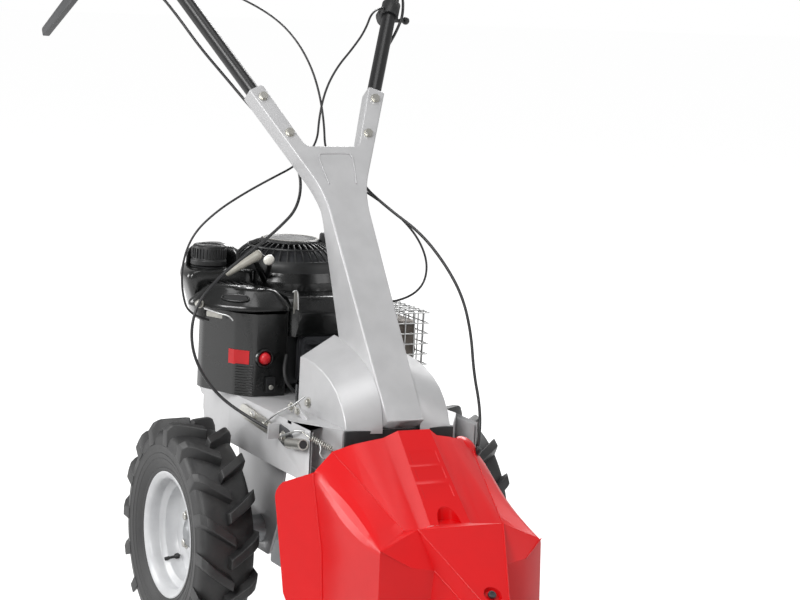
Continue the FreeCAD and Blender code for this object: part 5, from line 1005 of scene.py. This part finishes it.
def air_filter():
    """Filter box with its ribbed corner, label field and slotted lid."""
    plan = [(-76.5, 0), (-140, 0), (-167, 27), (-198, 104), (-198, 127), (-76.5, 127)]
    plate("filter_box", rounded(plan, 5, 3), flat, 450.2, 600, "chassis", BLACK_GLOSS,
          1.2, ("filter_housing",))
    # ribs across the chamfered corner
    a, b = Vector((-141.5, -0.8)), Vector((-166.2, 24.6))
    out = Vector((-0.707, -0.707))
    ring = lambda z: [at(*(a + out * d).to_tuple(), z) - at(0, 0, 0) for d in (-1, 1.3)] + \
        [at(*(b + out * d).to_tuple(), z) - at(0, 0, 0) for d in (1.3, -1)]
    bm = bmesh.new()
    local_prism(bm, [[tuple(p) for p in ring(z)] for z in (0, 2.4)])
    repeated("filter_ribs", item_from(bm, 0.5), 12, "chassis", BLACK_GLOSS,
             (0, 0, 452), step=(0, 0, 4.9))
    # label field, plain
    left = Vector((-0.928, -0.373))
    bm = bmesh.new()
    corners = ((Vector((-172.5, 40.5)), left), (Vector((-167.5, 28)), left),
               (Vector((-147, 7)), out))
    low, high = [[bm.verts.new(at(*(p + d * 0.9).to_tuple(), z)) for p, d in corners]
                 for z in (507, 533)]
    for k in range(2):
        bm.faces.new((low[k], low[k + 1], high[k + 1], high[k]))
    bmesh.ops.recalc_face_normals(bm, faces=bm.faces)
    label = object_from(bm, "filter_label", False)
    film = label.modifiers.new("film", "SOLIDIFY")
    film.thickness = 0.5 * MM
    film.offset = 0
    done(label, "chassis", LABEL_RED)
    # lid
    lid = [(-66, -6), (-66, 96), (-150, 118), (-214, 118), (-238, 92), (-206, 36), (-150, -6)]
    bm = bmesh.new()
    levels = [(604, 3, 0), (606, 0, 0), (611, 0, 0), (614, 2, 1), (636, 26, 2), (640, 32, 3), (642, 44, 4)]
    smooth = rounded(lid, 22, 6)
    middle = Vector((-150, 52))
    loops = []
    for z, inset, lift in levels:
        ring = []
        for x, y in smooth:
            away = (Vector((x, y)) - middle)
            pulled = middle + away * (1 - inset / away.length)
            ring.append(bm.verts.new(at(pulled.x, pulled.y, z + lift * (-x - 66) / 172)))
        loops.append(ring)
    bm.faces.new(loops[0])
    bm.faces.new(loops[-1])
    for p, q in zip(loops, loops[1:]):
        for k in range(len(p)):
            n = (k + 1) % len(p)
            bm.faces.new((p[k], p[n], q[n], q[k]))
    solid_from(bm, "filter_lid_moulding", "chassis", BLACK_GLOSS, ("filter_lid",), edge=1.0, angle=40)
    # bead round the dark finger hold on the lid's bevelled side
    middle = Vector((-171, 24.5, 627))
    along, up, out = Vector((-0.8, 0.6, 0)), Vector((0.44, 0.59, 0.67)), Vector((-0.4, -0.54, 0.74))
    oval = [middle + along * 25 * cos(t) + up * 7.5 * sin(t) for t in (pi * k / 12 for k in range(24))]
    wire("lid_oval_bead", [tuple(p) for p in oval], 1.8, "chassis", BLACK_GLOSS,
         cyclic=True)
    flat_oval = [(22 * cos(pi * k / 12), 6 * sin(pi * k / 12)) for k in range(24)]
    plate("lid_finger_hold", flat_oval, lambda u, v, w: tuple(middle + along * u + up * v + out * w),
          -1, 0.8, "chassis", BELT_RUBBER_AND_PAINTED_SHADE, 0.3)
    bm = bmesh.new()
    slot_ring = [(-2.6, -13), (2.6, -13), (2.6, 13), (-2.6, 13)]
    local_prism(bm, [[(x * MM, y * MM, z * MM) for x, y in rounded(slot_ring, 2.4, 3)] for z in (0, 1.0)])
    repeated("lid_slots", item_from(bm), 6, "chassis", BELT_RUBBER_AND_PAINTED_SHADE, (-186, 88, 644.6),
             step=(14, 0, -0.5))
    plate("lid_clip", rounded([(601, -1), (642, -1), (642, 1.2), (601, 1.2)], 0.8, 2),
          lambda u, v, w: (w, v - 9, u), -72, -65, "chassis", ZINC, 0.4)
    wire("lid_clip_wire", [(-74, -8, 640), (-70, -10, 644), (-64, -10, 640), (-63, -10, 606)], 1.3,
         "chassis", BRIGHT_WIRE)
    # primer surround, intake box and throttle linkage
    lathe("primer_dome", [(0, -11.5), (4, -11.1), (7.5, -9.5), (10, -6.6), (11, -3), (11, 1), (9, 1), (0, 1)],
          (-121, 0, 520), (0, 1, 0), "primer", RED_RUBBER, ("primer_bulb",), steps=48, edge=0.4)
    lathe("primer_bezel", [(11.8, 1.5), (11.8, -3.5), (14, -5.5), (16.5, -5.2), (18, -2), (18, 1.5)],
          (-121, 0, 520), (0, 1, 0), "chassis", BLACK_GLOSS, steps=48, edge=0.5)
    plate("intake_box", rounded([(-78, 6), (-48, 10), (-48, 90), (-78, 90)], 6, 3), flat, 470, 604,
          "chassis", BLACK_NYLON, 1.5)
    plate("intake_boss", rounded([(-118, 458), (-100, 458), (-100, 486), (-118, 486)], 3, 3), facing,
          -7, 1, "chassis", BLACK_NYLON, 1.0)
    lathe("intake_screw", [(0, 0), (4.5, 0), (4.5, 2.4), (3.6, 3.2), (0, 3.2)], (-109, -7, 468),
          (0, -1, 0), "chassis", ZINC, steps=24, edge=0.4)
    wire("ignition_lead", [(-84, -14, 527), (-96, -30, 508), (-94, -40, 482), (-74, -40, 462),
                           (-52, -36, 452)], 3.0, "chassis", GRIP_RUBBER)
    lathe("carburettor_nut", [(0, 8), (4, 8), (6, 6), (6.4, 0), (8, -1), (8, -7), (0, -7)],
          (-226, 60, 612), (-0.7, -0.7, 0.2), "chassis", ZINC, steps=18, edge=0.5)
    plate("linkage_strip", rounded([(-226, 596), (-196, 590), (-196, 597), (-226, 606)], 2, 3), facing,
          22, 24, "chassis", ZINC, 0.4)
    wire("linkage_rod", [(-222, 44, 606), (-204, 22, 600), (-186, 8, 597), (-182, 6, 589)], 1.4,
         "chassis", BRIGHT_WIRE)


fuel_tank()
grille()
starter_grip()
air_filter()


# ------------------------------------------------------------------ cables
CABLE_ROUTES = {
    "drive_cable": [
        (-291, 523.9, 1178), (-282, 470, 1178), (-266, 400, 1176), (-256, 330, 1171),
        (-241, 270, 1153), (-220, 226, 1113), (-190, 192, 1062), (-150, 158, 1009),
        (-113, 118, 956), (-78, 71, 910), (-49, 34, 856), (-61, 9, 792), (-115, -16, 753),
        (-174, -31, 715), (-233, -44, 677), (-281, -50, 624), (-289, -60, 555),
        (-263, -82, 493), (-219, -117, 450), (-172, -165, 424)],
    "throttle_cable": [
        (187.6, 208.7, 1144.5), (147, 172, 1143), (118, 142, 1103), (79, 113, 1070),
        (38, 86, 1039), (3, 57, 1001), (-20, 31, 954), (-14, 47, 900), (-46, 63, 860),
        (-99, 49, 839), (-150, 51, 812), (-199, 59, 779), (-239, 68, 738), (-256, 74, 686),
        (-256, 70, 632), (-243, 64, 590), (-205.3, 60, 582)],
    "brake_cable": [
        (-275, 523.9, 1178), (-262, 480, 1179), (-237, 437, 1184), (-202, 397, 1188),
        (-155, 363, 1184), (-105, 336, 1168), (-61, 303, 1148), (-32, 257, 1127),
        (-16, 205, 1103), (-5, 158, 1071), (0, 113, 1032), (-2, 72, 990), (-4, 43, 940),
        (3, 48, 885), (39, 42, 841), (82, 15, 813), (124, -12, 782), (162, -29, 740),
        (183, -35, 690), (176, -29, 644), (136, -10, 617), (76.3, 4, 610)],
    "cutter_cable": [
        (291, 523.9, 1226), (292, 470, 1210), (279, 400, 1192), (266, 325, 1186),
        (251, 257, 1174), (228, 206, 1135), (214, 193, 1113), (198, 190, 1084), (168, 175, 1051),
        (144, 141, 1006), (131, 116, 972), (104, 80, 924), (75, 42, 873),
        (61, 22, 835), (103, -20, 791), (145, -68, 754),
        (172, -116, 705), (186, -165, 652), (183, -209, 592), (172, -246, 529),
        (164, -288, 480), (154, -313, 438), (150, -314, 388)],
}


def cable(node, radius):
    curve = bpy.data.curves.new(node + "_sheath", "CURVE")
    curve.dimensions = "3D"
    curve.bevel_depth = radius
    curve.bevel_resolution = 4
    curve.resolution_u = 10
    curve.use_fill_caps = True
    line = curve.splines.new("NURBS")
    points = CABLE_ROUTES[node]
    line.points.add(len(points) - 1)
    for spot, (x, y, z) in zip(line.points, points):
        spot.co = (x * MM, y * MM + AXLE_Y, z * MM, 1)
    line.order_u = 3
    line.use_endpoint_u = True
    obj = bpy.data.objects.new(node + "_sheath", curve)
    bpy.context.scene.collection.objects.link(obj)
    done(obj, "chassis", SHEATH, (node,))


for name in ("drive_cable", "cutter_cable"):
    cable(name, 0.0027)
for name in ("throttle_cable", "brake_cable"):
    cable(name, 0.0020)


# ------------------------------------------------------------------ stage, lamps, camera

def stage():
    floor = bmesh.new()
    bmesh.ops.create_grid(floor, x_segments=1, y_segments=1, size=30)
    obj = object_from(floor, "floor", False)
    mat = bpy.data.materials.new("white_floor")
    mat.use_nodes = True
    tree = mat.node_tree
    tree.nodes.clear()
    path = add(tree, "ShaderNodeLightPath")
    seen = add(tree, "ShaderNodeMath", {"operation": "MAXIMUM"}, i0=path.outputs["Is Camera Ray"],
               i1=path.outputs["Is Glossy Ray"])
    seen = add(tree, "ShaderNodeMath", {"operation": "MAXIMUM"}, i0=seen.outputs[0],
               i1=path.outputs["Is Transmission Ray"])
    glow = add(tree, "ShaderNodeMath", {"operation": "MULTIPLY"}, i0=seen.outputs[0], i1=0.84)
    light = add(tree, "ShaderNodeEmission", Color=(1, 1, 1, 1), Strength=glow.outputs[0])
    paper = add(tree, "ShaderNodeBsdfDiffuse", Color=(0.36, 0.36, 0.36, 1))
    total = add(tree, "ShaderNodeAddShader", i0=light.outputs[0], i1=paper.outputs[0])
    add(tree, "ShaderNodeOutputMaterial", Surface=total.outputs[0])
    obj.data.materials.append(mat)


def world():
    sky = bpy.data.worlds.new("studio")
    bpy.context.scene.world = sky
    sky.use_nodes = True
    tree = sky.node_tree
    tree.nodes.clear()
    path = add(tree, "ShaderNodeLightPath")
    soft = add(tree, "ShaderNodeBackground", Color=(1, 1, 1, 1), Strength=0.42)
    white = add(tree, "ShaderNodeBackground", Color=(1, 1, 1, 1), Strength=1.0)
    mix = add(tree, "ShaderNodeMixShader", Fac=path.outputs["Is Camera Ray"], i1=soft.outputs[0],
              i2=white.outputs[0])
    add(tree, "ShaderNodeOutputWorld", Surface=mix.outputs[0])


def lamp(name, place, target, size, power):
    data = bpy.data.lights.new(name, "AREA")
    data.shape = "RECTANGLE"
    data.size = size[0]
    data.size_y = size[1]
    data.energy = power
    obj = bpy.data.objects.new(name, data)
    bpy.context.scene.collection.objects.link(obj)
    obj.location = place
    obj.rotation_euler = (Vector(target) - Vector(place)).to_track_quat("-Z", "Y").to_euler()


def camera():
    """Long lens from the front right corner, a little above and slightly rolled."""
    turn, tilt, roll = radians(-27.415), radians(8.605), radians(3.0)
    back = Vector((sin(turn) * cos(tilt), -cos(turn) * cos(tilt), sin(tilt)))
    right = Vector((cos(turn), sin(turn), 0))
    up = back.cross(right)
    across = right * cos(roll) + up * sin(roll)
    upward = up * cos(roll) - right * sin(roll)
    data = bpy.data.cameras.new("camera")
    data.sensor_width = 36
    data.lens = 2356 * 36 / 800
    data.clip_end = 100
    obj = bpy.data.objects.new("camera", data)
    bpy.context.scene.collection.objects.link(obj)
    turnm = Matrix((across, upward, back)).transposed().to_4x4()
    obj.matrix_world = Matrix.Translation((-1.823, -3.797 + AXLE_Y, 1.267)) @ turnm
    bpy.context.scene.camera = obj


stage()
world()
lamp("key", (-3.9, -2.9, 3.3), (0, -0.1, 0.5), (1.6, 1.8), 165)
lamp("side", (-4.0, 2.3, 2.0), (0, -0.1, 0.5), (1.6, 1.8), 120)
lamp("fill", (3.4, -3.4, 2.4), (0, 0, 0.5), (2.6, 2.4), 40)
lamp("rim", (2.4, 3.0, 3.0), (0, 0, 0.6), (2.2, 1.4), 110)
lamp("top", (-0.4, -1.0, 4.8), (0, 0, 0.5), (2.4, 2.4), 55)
camera()
bpy.context.scene.view_settings.view_transform = "Standard"
